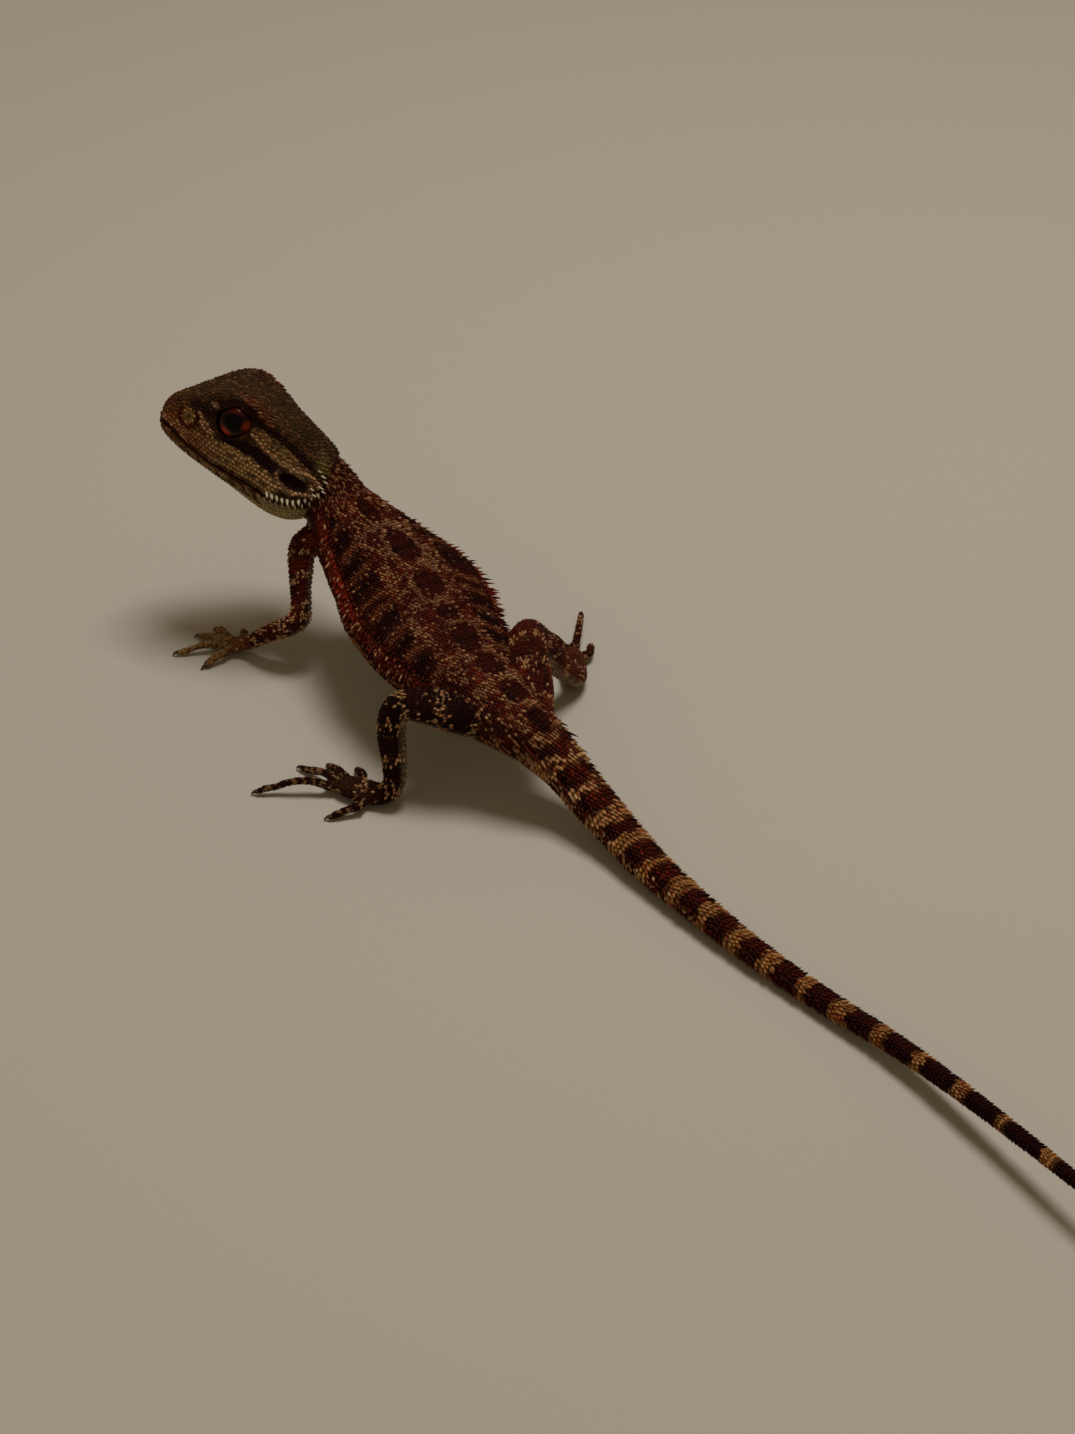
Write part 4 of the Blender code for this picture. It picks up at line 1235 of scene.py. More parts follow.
def scatter_roots(roots):
    """Fill what the rows left bare, and the crown, with scales spaced by chance."""
    points, normals = WORK["points"], WORK["normals"]
    order = np.random.default_rng(7).permutation(len(points))
    which, s = locate(points)[:2]
    along, across = scale_pitch(which, s)
    near_eye = beside_eye(fold_head(points))
    gap = np.where(which == HEAD, 0.40 - 0.10 * near_eye, 0.82 * np.minimum(along, across))
    good = open_skin(points) & (points[:, 2] > 0.05)
    cell = 0.45
    grid = {}
    for place in roots.arrays()[0]:
        grid.setdefault(tuple((place // cell).astype(int)), []).append(place)
    kept = []
    for k in order[good[order]]:
        corner = tuple((points[k] // cell).astype(int))
        if is_clear(points[k], gap[k], grid, corner):
            grid.setdefault(corner, []).append(points[k])
            kept.append(k)
    points, normals, which, s = (part[kept] for part in (points, normals, which, s))
    lie = np.empty((len(kept), 3))
    for index in np.unique(which):
        mine = which == index
        if index == HEAD:
            lie[mine] = head_lie(points[mine])
        else:
            way = REGIONS[index].way
            lie[mine] = unit(way.at(s[mine], way.tangent))
    roots.add(points, normals, lie)


# Scale shapes: points along the lie, across it and out from the skin in units of a scale's length,
# width and height, then faces.
KEELED = (
    ((-0.10, 0, 0.05), (0.55, 0, 0.80), (1.06, 0, 1.0),
     (0.02, 0.30, -0.25), (0.42, 0.5, 0.05), (0.80, 0.24, 0.35),
     (0.02, -0.30, -0.25), (0.42, -0.5, 0.05), (0.80, -0.24, 0.35),
     (0.10, 0, -1.2), (0.75, 0, -0.6)),
    ((0, 1, 4, 3), (1, 2, 5, 4), (0, 6, 7, 1), (1, 7, 8, 2),
     (0, 3, 9), (3, 4, 9), (4, 10, 9), (4, 5, 10), (5, 2, 10),
     (2, 8, 10), (8, 7, 10), (7, 9, 10), (7, 6, 9), (6, 0, 9)))
HEXAGON = [(math.cos(math.tau * k / 6), math.sin(math.tau * k / 6)) for k in range(6)]
PEBBLED = (
    (*((0.5 + 0.56 * cos, 0.50 * sin, -0.7) for cos, sin in HEXAGON),
     *((0.5 + 0.47 * cos, 0.42 * sin, 0.45) for cos, sin in HEXAGON),
     (0.66, 0, 1.05), (0.32, 0, 0.85), (0.5, 0, -1.1)),
    (*((k, (k + 1) % 6, 6 + (k + 1) % 6, 6 + k) for k in range(6)),
     (6, 7, 12), (7, 8, 13, 12), (8, 9, 13), (9, 10, 13), (10, 11, 12, 13), (11, 6, 12),
     *(((k + 1) % 6, k, 14) for k in range(6))))

# How a scale's colour changes from its foot to its crest: the foot darker and redder, partly the dark red rim
# between scales and partly painted shade; the crest lighter, a painted highlight.
EDGE_SHADE_AND_RIM = np.array((0.42, 0.27, 0.23))
CREST_HIGHLIGHT = np.array((1.22, 1.20, 1.18))


def scale_sizes(places, which, s, turn, hue):
    """Length, width, height and lift of each scale, and whether it is keeled; pale scales stand higher."""
    chance, second = speck(places, 0.31, 83), speck(places, 0.37, 89)
    along, across = scale_pitch(which, s)
    length, width, height = along * 1.45, across * 1.10, np.full(len(places), 0.14)
    lift = np.full(len(places), 8.0)
    low = np.abs(turn) * 180 / math.pi
    pale = smooth(0.10, 0.24, hue.mean(1))
    spine, head, limb, digit = which == SPINE, which == HEAD, is_limb(which), which >= FIRST_DIGIT
    # Trunk: pale and stray scales stand up on the back; the belly is flat.
    back = spine & (s < 62) & (low < 108)
    raised = back * pale * (0.45 + 0.55 * chance)
    length, width = length * (1 + 0.05 * raised), width * (1 + 0.14 * raised)
    height, lift = height + 0.13 * raised, lift + 14.0 * raised
    rough = back & (chance > 0.88) & (low > 22)
    height, lift = height + 0.08 * rough, lift + 8.0 * rough
    belly = spine & (low > 112) & (s < 60)
    length[belly], width[belly] = length[belly] * 0.98, width[belly] * 1.10
    height[belly], lift[belly] = 0.055, 3.0
    # Tail: strongly keeled, most of all along a ridge on either side.
    tail = spine & (s >= 56)
    taper = 1 - 0.45 * smooth(90.0, 145.0, s)
    ridge = (spine & (s > 48)) * bell(low, 72.0, 17.0) * (1 - 0.75 * smooth(70.0, 130.0, s))
    height = np.where(tail, 0.24 * taper * np.where(low > 120, 0.6, 1.0), height) + 0.12 * ridge
    lift = np.where(tail, 13.0 * taper, lift) + 15.0 * ridge
    length = length * (1 + 0.30 * ridge)
    length = length * (1 - 0.24 * (spine & (s < 46)) * smooth(60.0, 70.0, low))
    # Limbs and digits.
    length[limb] = length[limb] * 0.88
    height[limb] = (0.13 + 0.09 * pale * chance)[limb]
    lift[limb] = (10.0 + 12.0 * pale * chance)[limb]
    height[digit], lift[digit] = 0.07, 5.0
    # Head: pebbles over the crown and chin, keeled rows on the cheeks and lips.
    folded = fold_head(places)
    ax, y, z = folded.T
    above = z - mouth_height(y)
    near_eye = beside_eye(folded)
    lips = head & (np.abs(above) < 2.2) & (ax > 1.0) & (y < -2.2)
    nape = head & (y > -3.5) & (z > -1.0)
    brow = head & (trail(y, z, BROW_LINE, 0.62) > 0.4) & (ax > 4.4)
    chin = head & (above < -2.2)
    length[head] = (0.48 - 0.12 * near_eye)[head]
    width[head] = (0.41 - 0.09 * near_eye)[head]
    height[head] = (0.13 - 0.05 * near_eye - 0.04 * chin)[head]
    lift[head] = 4.0
    length[lips], width[lips], height[lips], lift[lips] = 0.68, 0.45, 0.14, 6.0
    height[nape], lift[nape] = 0.17, 15.0
    length[brow], height[brow], lift[brow] = 0.66, 0.22, 11.0
    length, width = length * (0.92 + 0.16 * second), width * (0.94 + 0.12 * chance)
    pebble = head & ~lips & ~nape & ~brow
    return np.stack((length, width, height, lift), 1), ~pebble


def laid_flat(vectors, normals):
    """Directions laid flat on surfaces with these normals."""
    return unit(vectors - normals * (vectors * normals).sum(1, keepdims=True))


def copies_of(shape, places, axes, sizes):
    """The points of a shape at every place, sized along its own three axes and kept off the floor."""
    body = places[:, None]
    for column, axis, size in zip(shape.T, axes, sizes):
        body = body + axis[:, None] * (column * size[:, None])[..., None]
    body[..., 2] = np.maximum(body[..., 2], 0.0)
    return body


def shape_coat(name, shape, roots):
    """Copies of one scale shape, each turned, sized and coloured, with painted shade at its foot and a
    painted highlight on its crest, as one mesh with its OFBake map.
    """
    points, faces = np.array(shape[0], float), shape[1]
    length, width, height, lift = roots["sizes"].T
    normals = roots["normal"]
    lie = laid_flat(roots["lie"], normals)
    across = np.cross(normals, lie)
    angle = np.radians(lift)[:, None]
    ahead = lie * np.cos(angle) + normals * np.sin(angle)
    start = roots["place"] - ahead * 0.45 * length[:, None]
    body = copies_of(points, start, (ahead, across, np.cross(ahead, across)), (length, width, height))
    # painted shade toward each scale's foot, painted highlight toward its crest
    top = np.clip(points[:, 2] * 0.7 + 0.35 * (points[:, 0] > 0.5), 0, 1)[:, None]
    shade = EDGE_SHADE_AND_RIM + (CREST_HIGHLIGHT - EDGE_SHADE_AND_RIM) * top
    patch = np.stack([points[:, 0] - 0.5, points[:, 1]], 1) * SCALE_PATCH
    return make_pieces(name, body, faces, roots["hue"][:, None] * shade, roots["atlas"][:, None] + patch)


def make_pieces(name, body, faces, hues, patches):
    """A mesh of many copies of the same faces, with its colours and its OFBake map."""
    count, each = body.shape[:2]
    loops = np.concatenate([np.array(face) for face in faces])
    sizes = np.array([len(face) for face in faces])
    all_loops = (loops[None] + each * np.arange(count)[:, None]).ravel()
    ends = np.cumsum(np.tile(sizes, count))
    mesh = bpy.data.meshes.new(name)
    mesh.vertices.add(count * each)
    mesh.vertices.foreach_set("co", ((body - STANCE_CENTRE) * MM).astype(np.float32).ravel())
    mesh.loops.add(len(all_loops))
    mesh.loops.foreach_set("vertex_index", all_loops.astype(np.int32))
    mesh.polygons.add(count * len(faces))
    mesh.polygons.foreach_set("loop_start", np.r_[0, ends[:-1]].astype(np.int32))
    mesh.update(calc_edges=True)
    add_colour(mesh, "hue", np.clip(hues, 0, 1).reshape(-1, 3))
    layer = mesh.uv_layers.new(name="OFBake")
    layer.data.foreach_set("uv", patches.reshape(-1, 2)[all_loops].astype(np.float32).ravel())
    return link_object(name, mesh)


def join_named(name, pieces):
    """Join mesh objects into the first one and name it."""
    select_only(pieces[0])
    for piece in pieces[1:]:
        piece.select_set(True)
    bpy.ops.object.join()
    pieces[0].name = pieces[0].data.name = name
    return pieces[0]


def atlas_places(places):
    """Where roots lie on the unwrap of the skin's own shape: along the body and round it."""
    which, s, _, arc = locate(places)
    corners = np.array([region.atlas for region in REGIONS])
    return corners[which] + np.stack([s, arc], 1) * UNWRAP


def lay_coat(name, mine, material):
    """One coat piece from the roots picked by a mask."""
    roots = WORK["roots"]
    parts = []
    for shape, keeled in ((KEELED, True), (PEBBLED, False)):
        pick = mine & (roots["keeled"] == keeled)
        if pick.any():
            parts.append(shape_coat(name, shape, {key: column[pick] for key, column in roots.items()}))
    coat = join_named(name, parts) if len(parts) > 1 else parts[0]
    coat.data.materials.append(material)
    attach(coat, BODY)
    return coat


def find_roots(tints, opening):
    """Every scale root on the body, with its sizes and colour."""
    WORK["opening"] = opening
    roots = Roots()
    lip_roots(roots)
    for index in range(len(REGIONS)):
        if index != HEAD:
            ring_roots(roots, index)
    roots.keep(open_skin(roots.arrays()[0]))
    scatter_roots(roots)
    place, normal, lie = roots.arrays()
    which, s, turn, _ = locate(place)
    hue = paint(place, tints)
    sizes, keeled = scale_sizes(place, which, s, turn, hue)
    light = 0.80 + 0.44 * speck(place, 0.23, 97)
    WORK["roots"] = {
        "place": place, "normal": normal, "lie": lie, "which": which, "s": s, "keeled": keeled,
        "sizes": sizes, "hue": hue * light[:, None], "atlas": atlas_places(place)}


# Cluster of spines behind the ear, in the head's frame: y, z and length.
EAR_CLUSTER = (
    (1.3, -2.4, 0.8), (1.8, -1.7, 0.95), (2.1, -1.0, 0.9), (1.8, -0.3, 0.7), (1.0, -1.5, 0.6),
    (2.2, -2.4, 0.85), (1.2, 0.4, 0.55))
# Rows of body spines by their turn from the back in degrees: the fringe's with a size, the cones
# beside the back with a size and spacing, and the nape's with their start and end along the spine.
FRINGE_ROWS = ((61.0, 0.48), (69.0, 0.80), (77.0, 0.82), (85.0, 0.52), (93.0, 0.36))
BACK_ROWS = ((24.0, 0.46, 1.25), (36.0, 0.42, 1.4), (50.0, 0.40, 1.5))
NAPE_ROWS = ((18.0, 0.8, 6.0), (30.0, 0.4, 6.6), (42.0, 1.0, 7.0), (56.0, 0.8, 7.0), (75.0, 1.0, 6.5))
# What each kind of spine is tinted with over the skin's own colour, and by how much.
SPINE_TINTS = {
    "plain": ("rust", 0.45), "back": ("tan", 0.35), "nape": ("tan", 0.4), "tail": ("rust", 0.25),
    "side": ("cream", 0.7)}
CLAW_BEND = 1.15  # angle that a claw turns through from root to point
# Red of the iris, faint on top as painted shade under the upper lid: strength, turn round the pupil in
# degrees and spread.
IRIS_GLOW = ((0.95, -34.0, 26.0), (0.70, -150.0, 20.0), (0.25, 115.0, 30.0))
RAMP_ANGLE = 1.6  # angle from the gaze at the end of the iris's colour ramps


def spike_shape(sides=6):
    """A cone of a spine, a little bent back, with its foot sunk in the skin."""
    rings = ((-0.25, 0.5, 0.0), (0.25, 0.42, 0.02), (0.62, 0.26, 0.10))
    turns = [math.tau * k / sides for k in range(sides)]
    points = [(bend + radius * math.cos(turn), radius * math.sin(turn), height)
              for height, radius, bend in rings for turn in turns]
    points += [(0.26, 0, 1.0), (0, 0, -0.3)]
    tip, foot = len(points) - 2, len(points) - 1
    faces = []
    for ring in range(len(rings) - 1):
        for k in range(sides):
            a, b = ring * sides + k, ring * sides + (k + 1) % sides
            faces.append((a, b, b + sides, a + sides))
    last = (len(rings) - 1) * sides
    faces += [(last + k, last + (k + 1) % sides, tip) for k in range(sides)]
    faces += [((k + 1) % sides, k, foot) for k in range(sides)]
    return np.array(points), faces


def raise_spines(name, places, aims, lengths, radii, hues, bends):
    """Spines at given places: length and radius in millimetres, bending toward bends."""
    points, faces = spike_shape()
    aims = unit(aims)
    ahead = laid_flat(bends, aims)
    axes = (ahead, np.cross(aims, ahead), aims)
    body = copies_of(points, places, axes, (2 * radii, 2 * radii, lengths))
    shade = 0.60 + 0.45 * np.clip(points[:, 2:], 0, 1)
    patches = atlas_places(places)[:, None] + points[:, :2] * SPINE_PATCH
    return make_pieces(name, body, faces, hues[:, None] * shade, patches)


def on_head(places, lift=3.0):
    """Head-frame places dropped straight in onto the skin, with the surface directions there."""
    places = np.asarray(places, float)
    outward = unit(places - places * (0, 1, 0.25))
    inward = -outward @ HEAD_MATRIX[:3, :3].T / HEAD_SCALE
    return cast(place_head(places + outward * lift), inward, 9.0)


def beard_spines(tints):
    """White spines below the ear, smaller ones under them, and the cluster behind the ear."""
    rows = []
    for sign in (1, -1):
        for k in range(10):
            t = k / 9
            place = (7.4 - 1.4 * t ** 2, -4.0 + 6.0 * t, -3.40 + 1.1 * max(t - 0.6, 0))
            length = 0.68 + 0.24 * math.sin(math.pi * min(t + 0.25, 1.0)) + 0.14 * math.sin(5.3 * k)
            rows.append((sign, place, length, 0.23, (0.80, 0.30 + 0.15 * math.sin(3.1 * k), -0.55)))
        for k in range(9):
            t = k / 8
            place = (7.1 - 1.6 * t ** 2, -4.9 + 6.2 * t, -4.25 + 0.7 * t ** 1.6)
            rows.append((sign, place, 0.55, 0.15, (0.5, 0.35, -0.8)))
        for k in range(8):
            t = k / 7
            place = (6.7 - 1.8 * t ** 2, -4.6 + 5.6 * t, -5.0 + 0.7 * t ** 1.6)
            rows.append((sign, place, 0.36, 0.12, (0.5, 0.4, -0.7)))
        for k, (y, z, length) in enumerate(EAR_CLUSTER):
            rows.append((sign, (5.6 - 0.12 * k, y, z), length, 0.16, (0.55, 0.85, 0.05)))
    sign, place, length, radius, aim = (np.array(column) for column in zip(*rows))
    both = np.stack([sign, np.ones_like(sign), np.ones_like(sign)], 1)
    found, place, _ = on_head(place * both)
    aims, length, radius = head_way(aim * both)[found], length[found], radius[found]
    hues = tints.spike * (0.55 + 0.50 * smooth(0.4, 0.75, length))[:, None]
    bends = np.broadcast_to(head_way((0, 1, 0)), place.shape)
    return raise_spines("beard", place, aims, length, radius, hues, bends)


def body_spine_rows():
    """Spines of the body: distance along, turn in degrees, length, radius, rise and kind."""
    rows = []
    for sign in (1, -1):
        for row, (low, size) in enumerate(FRINGE_ROWS):
            for s in np.arange(7.5 + 0.4 * row, 43.5, 0.80):
                ease = 0.8 + 0.35 * math.sin(math.pi * min(max((s - 6) / 38, 0), 1))
                rows.append((s, sign * low, 1.3 * size * ease, 0.18, 0.82, "fringe" if row else "plain"))
        for low, size, step in BACK_ROWS:
            for s in np.arange(5.0, 47.0, step):
                rows.append((s, sign * (low + 2.0 * math.sin(s * 1.3)), size, 0.20, 0.50, "back"))
        for low, start, end in NAPE_ROWS:
            for s in np.arange(start, end, 0.85):
                rows.append((s, sign * low, 0.70, 0.16, 0.60, "nape"))
        for s in np.arange(47.0, 96.0, 1.0):
            low = 66.0 if s < 80 else 58.0
            rows.append((s, sign * low, 1.50 - 0.018 * (s - 47), 0.23, 0.50, "tail"))
        for s in np.arange(47.5, 80.0, 1.0):
            rows.append((s, sign * 84.0, 0.80 - 0.010 * (s - 47), 0.20, 0.38, "side"))
    return rows


def body_spines(tints):
    """The spiny fringe of the flank, the cones beside the back, and the nape's spines."""
    way = REGIONS[SPINE].way
    s, turn, length, radius, rise, kinds = (np.array(column) for column in zip(*body_spine_rows()))
    number = np.arange(len(s))
    jitter = hash_noise(np.stack([number, number * 3, number * 0], 1), 101) - 0.5
    s, turn = s + 0.5 * jitter, np.radians(turn) + 0.06 * jitter[::-1]
    sin, cos = np.sin(turn), np.cos(turn)
    wide, above, below = way.at(s, way.sides()).T
    side, up, centre, tangent = (way.at(s, part) for part in (way.side, way.up, way.centre, way.tangent))
    tall = np.where(cos > 0, above, below)
    out = unit(side * (sin / wide)[:, None] + up * (cos / tall)[:, None])
    start = centre + side * (sin * wide)[:, None] + up * (cos * tall)[:, None]
    found, place, normal = cast(start + out * CAST_FROM, -out)
    mine = locate(place)[0] == SPINE
    found, place, normal = found[mine], place[mine], normal[mine]
    length, radius, rise, kinds, tangent = (part[found] for part in (length, radius, rise, kinds, tangent))
    length = length * (0.75 + 0.5 * speck(place, 0.3, 103))
    aims = unit(normal * rise[:, None] + tangent * (1 - rise * 0.4)[:, None])
    # The fringe is red with cream points; the others take the skin's own colour, shifted by kind.
    pale = speck(place, 0.4, 107)
    front = fore_part(locate(place)[1])
    red = mix(tints.maroon, tints.fringe, (0.25 + 0.75 * front) * smooth(0.15, 0.75, pale))
    tipped = mix(mix(tints.fringe, tints.tan, 0.5), tints.cream, 4 * (pale - 0.76))
    fringe = np.where(pale[:, None] > 0.76, tipped, red)
    kinds = kinds[:, None]
    hues = np.where(kinds == "fringe", fringe, paint(place, tints))
    for kind, (tint, amount) in SPINE_TINTS.items():
        hues = np.where(kinds == kind, mix(hues, getattr(tints, tint), amount), hues)
    return raise_spines("fringe", place, aims, length, radius, hues, tangent)


def claw_shape(base, ahead, up, length, radius, sides=10):
    """One curved claw: rings along an arc that bends down to a point."""
    across = np.cross(ahead, up)
    turn = math.tau * np.arange(sides) / sides
    rings = []
    for t in np.linspace(0, 1, 7):
        bend = CLAW_BEND * t
        sin, cos = math.sin(bend), math.cos(bend)
        place = base + length * (ahead * sin / CLAW_BEND - up * (1 - cos) / CLAW_BEND)
        out = np.cross(across, ahead * cos - up * sin)
        size = radius * (1 - t) ** 0.7 + 0.02
        rings.append(place + np.outer(np.cos(turn) * size * 0.8, across) + np.outer(np.sin(turn) * size, out))
    return loft(rings)


def build_claws(sizes):
    """Dark curved claws on every digit, as one joined piece."""
    parts = []
    for region in REGIONS[FIRST_DIGIT:]:
        way = region.way
        ahead = unit(unit(way.centre[-1] - way.centre[-8]) * (1, 1, 0.3))
        up = unit(np.cross(np.cross(ahead, (0, 0, 1)), ahead))
        base = way.at(np.array([way.length - 0.55]), way.centre)[0] + up * 0.12
        points, faces = claw_shape(base, ahead, up, sizes.claw, 0.24)
        points[:, 2] = np.maximum(points[:, 2], 0.01)
        parts.append((points, faces))
    claws = new_object("claws", *join_parts(parts))
    face_outward(claws)
    to_metres(claws)
    claws.data.shade_smooth()
    claws.data.materials.append(claw_material())
    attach(claws, BODY)
    return claws


def build_eye(sign, sizes):
    """One eyeball, with the angle from the gaze and the red of the iris stored on it; that red is faint on
    top as painted shade under the upper lid.
    """
    gaze, up, across = gaze_frame(sign)
    centre = EYE_CENTRE * np.array((sign, 1, 1))
    bpy.ops.object.select_all(action="DESELECT")
    bpy.ops.mesh.primitive_uv_sphere_add(segments=64, ring_count=48, radius=1.0)
    ball = bpy.context.object
    side = "left" if sign > 0 else "right"
    ball.name = ball.data.name = "eyeball_" + side
    along, above, ahead = coordinates(ball.data).T
    polar = np.arccos(np.clip(ahead, -1, 1))
    radius = EYE_RADIUS * (1 + 0.035 * bell(polar, 0.0, 0.45))
    spread = np.outer(ahead, gaze) + np.outer(along, across) + np.outer(above, up)
    put_coordinates(ball.data, place_head(centre + spread * radius[:, None]))
    face_outward(ball)
    forward = along * np.sign(-across[1])
    turn = np.degrees(np.arctan2(above, forward))
    # iris red strongest low in front and behind, faint on top: painted shade under the upper lid
    glow = sum(strength * bell(turn, middle, width) for strength, middle, width in IRIS_GLOW)
    for name, values in (("polar", polar), ("glow", np.clip(glow, 0, 1))):
        layer = ball.data.attributes.new(name, "FLOAT", "POINT")
        layer.data.foreach_set("value", values.astype(np.float32))
    to_metres(ball)
    ball.data.shade_smooth()
    ball.data.materials.append(eye_material("eyeball_" + side, sizes))
    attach(ball, BODY)
    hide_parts("eye_" + side)
    return ball


def eye_material(name, sizes):
    """A dark wet eye: black pupil in a dark brown iris that shows red in front and behind, its top left dark
    as painted shade under the upper lid.
    """
    made, tree, shader = new_material(name, 0.06, 0.08)
    polar = node(tree, "ShaderNodeAttribute", {"attribute_name": "polar"}, {}, "Fac")
    glow = node(tree, "ShaderNodeAttribute", {"attribute_name": "glow"}, {}, "Fac")
    place = node(tree, "ShaderNodeTexCoord", {}, {}, "Object")
    patchy = node(tree, "ShaderNodeTexNoise", {}, {"Vector": place, "Scale": 900.0, "Detail": 3.0})
    reach = (polar + patchy * 0.10 - 0.05) * (1 / RAMP_ANGLE)
    pupil, iris = sizes.pupil / RAMP_ANGLE, sizes.iris / RAMP_ANGLE
    black, red = (0.002, 0.0015, 0.0015), np.array(sizes.iris_tint)
    bright = ((0.0, black), (pupil - 0.02, black), (pupil + 0.03, tuple(red * 0.35)),
              (0.6 * pupil + 0.4 * iris, tuple(red * 0.6)), (iris - 0.04, tuple(red)),
              (iris + 0.05, tuple(red * 0.15)), (1.0, black))
    brown = ((0.0, black), (pupil - 0.02, black), (pupil + 0.04, (0.011, 0.0045, 0.003)),
             (1.0, (0.014, 0.006, 0.004)))
    rings = node(tree, "ShaderNodeValToRGB", {"stops": bright}, {"Fac": reach})
    dull = node(tree, "ShaderNodeValToRGB", {"stops": brown}, {"Fac": reach})
    flecks = node(tree, "ShaderNodeTexNoise", {}, {"Vector": place, "Scale": 1400.0, "Detail": 3.0})
    amount = node(tree, "ShaderNodeClamp", {}, {0: glow * (flecks * 1.6 + 0.2)})
    hue = tint_node(tree, dull, amount, rings)
    tree.links.new(hue.link, shader.inputs["Base Color"])
    return made


def claw_material():
    """Dark horn with paler streaks."""
    made, tree, shader = new_material("claw_horn", 0.35, 0.5)
    place = node(tree, "ShaderNodeTexCoord", {}, {}, "Object")
    streak = node(tree, "ShaderNodeTexNoise", {}, {"Vector": place, "Scale": 1800.0, "Detail": 3.0})
    stops = ((0.3, (0.012, 0.008, 0.006)), (0.7, (0.05, 0.035, 0.022)))
    hue = node(tree, "ShaderNodeValToRGB", {"stops": stops}, {"Fac": streak})
    tree.links.new(hue.link, shader.inputs["Base Color"])
    return made


def half_opening(sizes):
    """Half length and half height of the opening between the lids."""
    return sizes.eye_long / 2, sizes.eye_tall / 2


def eye_opening(opening):
    """Reach from the gaze line in units of the lids' opening, for places about the eye's centre."""
    gaze, up, across = gaze_frame(1)
    long, tall = opening

    def measure(from_eye):
        ahead = from_eye @ gaze
        flat = np.hypot(from_eye @ across / long, from_eye @ up / tall)
        return np.where(ahead > 0, flat, 9.0)
    return measure


def colour_property(name, red, green, blue, description):
    """A colour a user can change, given by its painter's values."""
    return bpy.props.FloatVectorProperty(
        name=name, description=description, subtype="COLOR", size=3, min=0.0, max=1.0,
        default=tuple(float(value) for value in srgb(red, green, blue)))


def length_property(name, default, description):
    """A length in millimetres a user can change."""
    return bpy.props.FloatProperty(
        name=name, description=description, default=default, min=0.0, soft_max=20.0, unit="NONE")


def angle_property(name, default, low, high, description):
    """An angle in radians a user can change."""
    return bpy.props.FloatProperty(
        name=name, description=description, default=default, min=low, max=high, subtype="ANGLE")


def power_property(name, default, description):
    """The power of a light."""
    return bpy.props.FloatProperty(
        name=name, description=description, default=default, min=0.0, unit="POWER")


def place_property(name, default, description):
    """A point in metres."""
    return bpy.props.FloatVectorProperty(
        name=name, description=description, default=default, subtype="TRANSLATION", unit="LENGTH")


class DragonColours(bpy.types.PropertyGroup):
    """Colours of the hide, its markings and the spines."""
    dark: colour_property("Dark", 24, 8, 6, "Ovals, bars, mask and the dark hind leg")
    maroon: colour_property("Maroon", 70, 22, 13, "Ground colour of the back and limbs")
    tan: colour_property("Tan", 146, 100, 64, "Network over the back and pale crossbands")
    cream: colour_property("Cream", 194, 154, 110, "Pale scales, rims and lines")
    rust: colour_property("Rust", 124, 43, 17, "Warm patches of the flanks")
    fringe: colour_property("Fringe", 156, 48, 24, "Spiny fringe along the flanks")
    crown: colour_property("Crown", 68, 50, 27, "Top of the head")
    snout: colour_property("Snout", 132, 80, 38, "Snout and brow scales")
    lip: colour_property("Lip", 176, 142, 94, "Keeled rows of the lips")
    chin: colour_property("Chin", 186, 168, 118, "Chin and throat")
    olive: colour_property("Olive", 128, 112, 62, "Nape patch, nostril ring and fingers")
    gold: colour_property("Gold", 158, 108, 56, "Pale bands of the tail")
    belly: colour_property("Belly", 165, 150, 125, "Underside")
    ear: colour_property("Ear", 9, 6, 5, "Ear drum")
    spike: colour_property("Spike", 225, 210, 180, "Spines of the beard")


class DragonSizes(bpy.types.PropertyGroup):
    """Sizes of the skin, eyes and claws: lengths in millimetres, angles in radians."""
    voxel: length_property("Skin grid", 0.33, "Cell size of the fused skin, in millimetres")
    lids: length_property("Lid thickness", 0.60, "How far the lids stand over the eyeball, in millimetres")
    eye_long: length_property("Eye opening length", 4.35, "Between the corners of the lids, in millimetres")
    eye_tall: length_property("Eye opening height", 3.1, "Between upper and lower lid, in millimetres")
    pupil: angle_property("Pupil angle", 0.46, 0.1, 1.0, "Half angle of the pupil from the gaze line")
    iris: angle_property("Iris angle", 0.92, 0.2, 1.4, "Half angle of the iris from the gaze line")
    iris_tint: colour_property("Iris", 190, 62, 22, "Colour of the iris")
    claw: length_property("Claw length", 1.0, "Length of each claw along its curve, in millimetres")


class DragonStage(bpy.types.PropertyGroup):
    """Floor, lights and camera."""
    floor: colour_property("Floor", 190, 184, 174, "Colour of the plain floor")
    key_power: power_property("Key light", 2.0, "Power of the large key light")
    fill_power: power_property("Fill light", 0.10, "Power of the fill light")
    sky: bpy.props.FloatProperty(
        name="Room light", description="Strength of the even room light", default=0.18, min=0.0)
    lens: bpy.props.FloatProperty(
        name="Lens", description="Focal length of the camera in millimetres", default=57.74, min=10.0)
    camera_at: place_property("Camera", (0.1046, 0.15164, 0.170), "Where the camera stands")
    camera_aim: place_property("Aim", (-0.00985, -0.03342, 0.0), "Point that the camera looks at")


def tints_of(scene):
    """The colours of the settings as arrays, by their names."""
    colours = scene.dragon_colours
    return SimpleNamespace(**{name: np.array(getattr(colours, name)) for name in colours.__annotations__})


class DRAGON_OT_skin(bpy.types.Operator):
    """Fuse the flesh into one skin, shape lids, lips and ears, and paint its markings"""
    bl_idname = "dragon.skin"
    bl_label = "Skin"

    def execute(self, context):
        sizes, tints = context.scene.dragon_sizes, tints_of(context.scene)
        build_skin(sizes, tints)
        find_roots(tints, eye_opening(half_opening(sizes)))
        return {"FINISHED"}


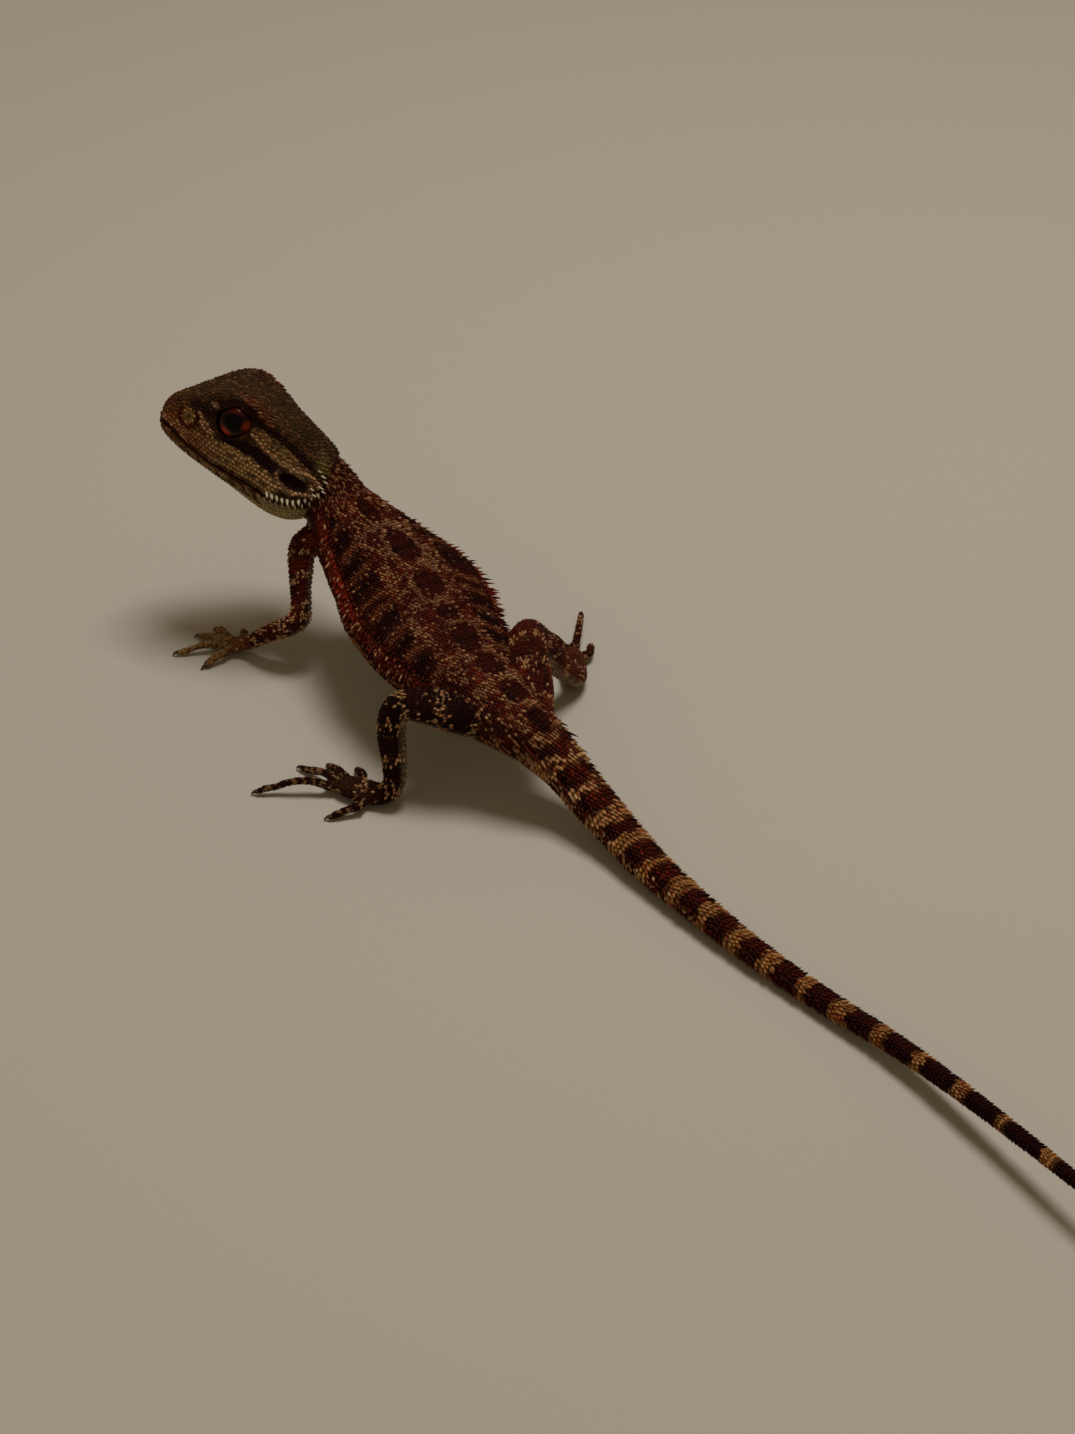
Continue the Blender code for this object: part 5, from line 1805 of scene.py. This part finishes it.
class DRAGON_OT_scales(bpy.types.Operator):
    """Lay the scales of the trunk, tail, limbs and head over the skin"""
    bl_idname = "dragon.scales"
    bl_label = "Scales"

    def execute(self, context):
        if "roots" not in WORK:
            raise RuntimeError("Build the skin before its scales")
        which, s = WORK["roots"]["which"], WORK["roots"]["s"]
        spine = which == SPINE
        finish = hide_material("scales", 0.58)
        lay_coat("scales_trunk_fore", spine & (s < 26), finish)
        lay_coat("scales_trunk_rear", spine & (s >= 26) & (s < 52), finish)
        lay_coat("scales_tail", spine & (s >= 52), finish)
        lay_coat("scales_limbs", is_limb(which), finish)
        lay_coat("scales_digits", which >= FIRST_DIGIT, finish)
        lay_coat("scales_head", which == HEAD, finish)
        return {"FINISHED"}


class DRAGON_OT_spines(bpy.types.Operator):
    """Raise the spines of the beard and nape, the fringe of the flanks and the cones of the back"""
    bl_idname = "dragon.spines"
    bl_label = "Spines"

    def execute(self, context):
        tints = tints_of(context.scene)
        finish = hide_material("spines", 0.55)
        for spines in (beard_spines(tints), body_spines(tints)):
            spines.data.materials.append(finish)
            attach(spines, BODY)
        return {"FINISHED"}


class DRAGON_OT_eyes(bpy.types.Operator):
    """Set both eyeballs behind their lids"""
    bl_idname = "dragon.eyes"
    bl_label = "Eyes"

    def execute(self, context):
        for sign in (1, -1):
            build_eye(sign, context.scene.dragon_sizes)
        return {"FINISHED"}


class DRAGON_OT_claws(bpy.types.Operator):
    """Put a curved claw on every finger and toe"""
    bl_idname = "dragon.claws"
    bl_label = "Claws"

    def execute(self, context):
        build_claws(context.scene.dragon_sizes)
        return {"FINISHED"}


def aim_at(thing, place, aim):
    """Put a light or camera at a place, facing a point."""
    thing.location = place
    thing.rotation_euler = (Vector(aim) - Vector(place)).to_track_quat("-Z", "Y").to_euler()


def add_area_light(name, place, aim, size, power, colour):
    """A large soft light that faces a point."""
    lamp = bpy.data.lights.new(name, "AREA")
    lamp.size, lamp.energy, lamp.color = size, power, colour
    aim_at(link_object(name, lamp), place, aim)


class DRAGON_OT_stage(bpy.types.Operator):
    """Set up the plain floor, the soft lights and the camera"""
    bl_idname = "dragon.stage"
    bl_label = "Stage"

    def execute(self, context):
        stage = context.scene.dragon_stage
        bpy.ops.object.select_all(action="DESELECT")
        bpy.ops.mesh.primitive_plane_add(size=3.0)
        floor = bpy.context.object
        floor.name = "floor"
        paper, _, shader = new_material("floor_paper", 0.9, 0.2)
        shader.inputs["Base Color"].default_value = (*stage.floor, 1)
        floor.data.materials.append(paper)
        middle = (0.0, -0.01, 0.01)
        add_area_light("key", (-0.12, -0.06, 0.60), middle, 0.20, stage.key_power, (1.0, 0.97, 0.92))
        add_area_light("fill", (0.45, 0.30, 0.35), middle, 0.6, stage.fill_power, (1.0, 0.96, 0.90))
        world = bpy.data.worlds.new("room")
        world.use_nodes = True
        room = world.node_tree.nodes["Background"].inputs
        room["Color"].default_value, room["Strength"].default_value = (1.0, 0.78, 0.45, 1), stage.sky
        context.scene.world = world
        lens = bpy.data.cameras.new("camera")
        lens.lens, lens.sensor_width, lens.clip_start = stage.lens, 36.0, 0.005
        camera = link_object("camera", lens)
        aim_at(camera, stage.camera_at, stage.camera_aim)
        context.scene.camera = camera
        context.scene.view_settings.view_transform = "Standard"
        return {"FINISHED"}


class DRAGON_PT_panel(bpy.types.Panel):
    """Buttons for each group of pieces, and their settings"""
    bl_idname = "DRAGON_PT_panel"
    bl_label = "Bearded Dragon"
    bl_space_type = "VIEW_3D"
    bl_region_type = "UI"
    bl_category = "Dragon"

    def draw(self, context):
        for operator in OPERATORS:
            self.layout.operator(operator.bl_idname)
        scene = context.scene
        for settings in (scene.dragon_sizes, scene.dragon_colours, scene.dragon_stage):
            box = self.layout.box()
            for name in settings.__annotations__:
                box.prop(settings, name)


OPERATORS = (DRAGON_OT_skin, DRAGON_OT_scales, DRAGON_OT_spines, DRAGON_OT_eyes, DRAGON_OT_claws,
             DRAGON_OT_stage)
CLASSES = (DragonColours, DragonSizes, DragonStage, *OPERATORS, DRAGON_PT_panel)


def register():
    """Register the settings, operators and panel."""
    for each in CLASSES:
        bpy.utils.register_class(each)
    bpy.types.Scene.dragon_colours = bpy.props.PointerProperty(type=DragonColours)
    bpy.types.Scene.dragon_sizes = bpy.props.PointerProperty(type=DragonSizes)
    bpy.types.Scene.dragon_stage = bpy.props.PointerProperty(type=DragonStage)


def unregister():
    """Remove them again."""
    del bpy.types.Scene.dragon_colours, bpy.types.Scene.dragon_sizes, bpy.types.Scene.dragon_stage
    for each in reversed(CLASSES):
        bpy.utils.unregister_class(each)


def main():
    """Build every piece in order."""
    register()
    bpy.ops.dragon.skin()
    bpy.ops.dragon.scales()
    bpy.ops.dragon.spines()
    bpy.ops.dragon.eyes()
    bpy.ops.dragon.claws()
    bpy.ops.dragon.stage()


if __name__ == "__main__":
    main()
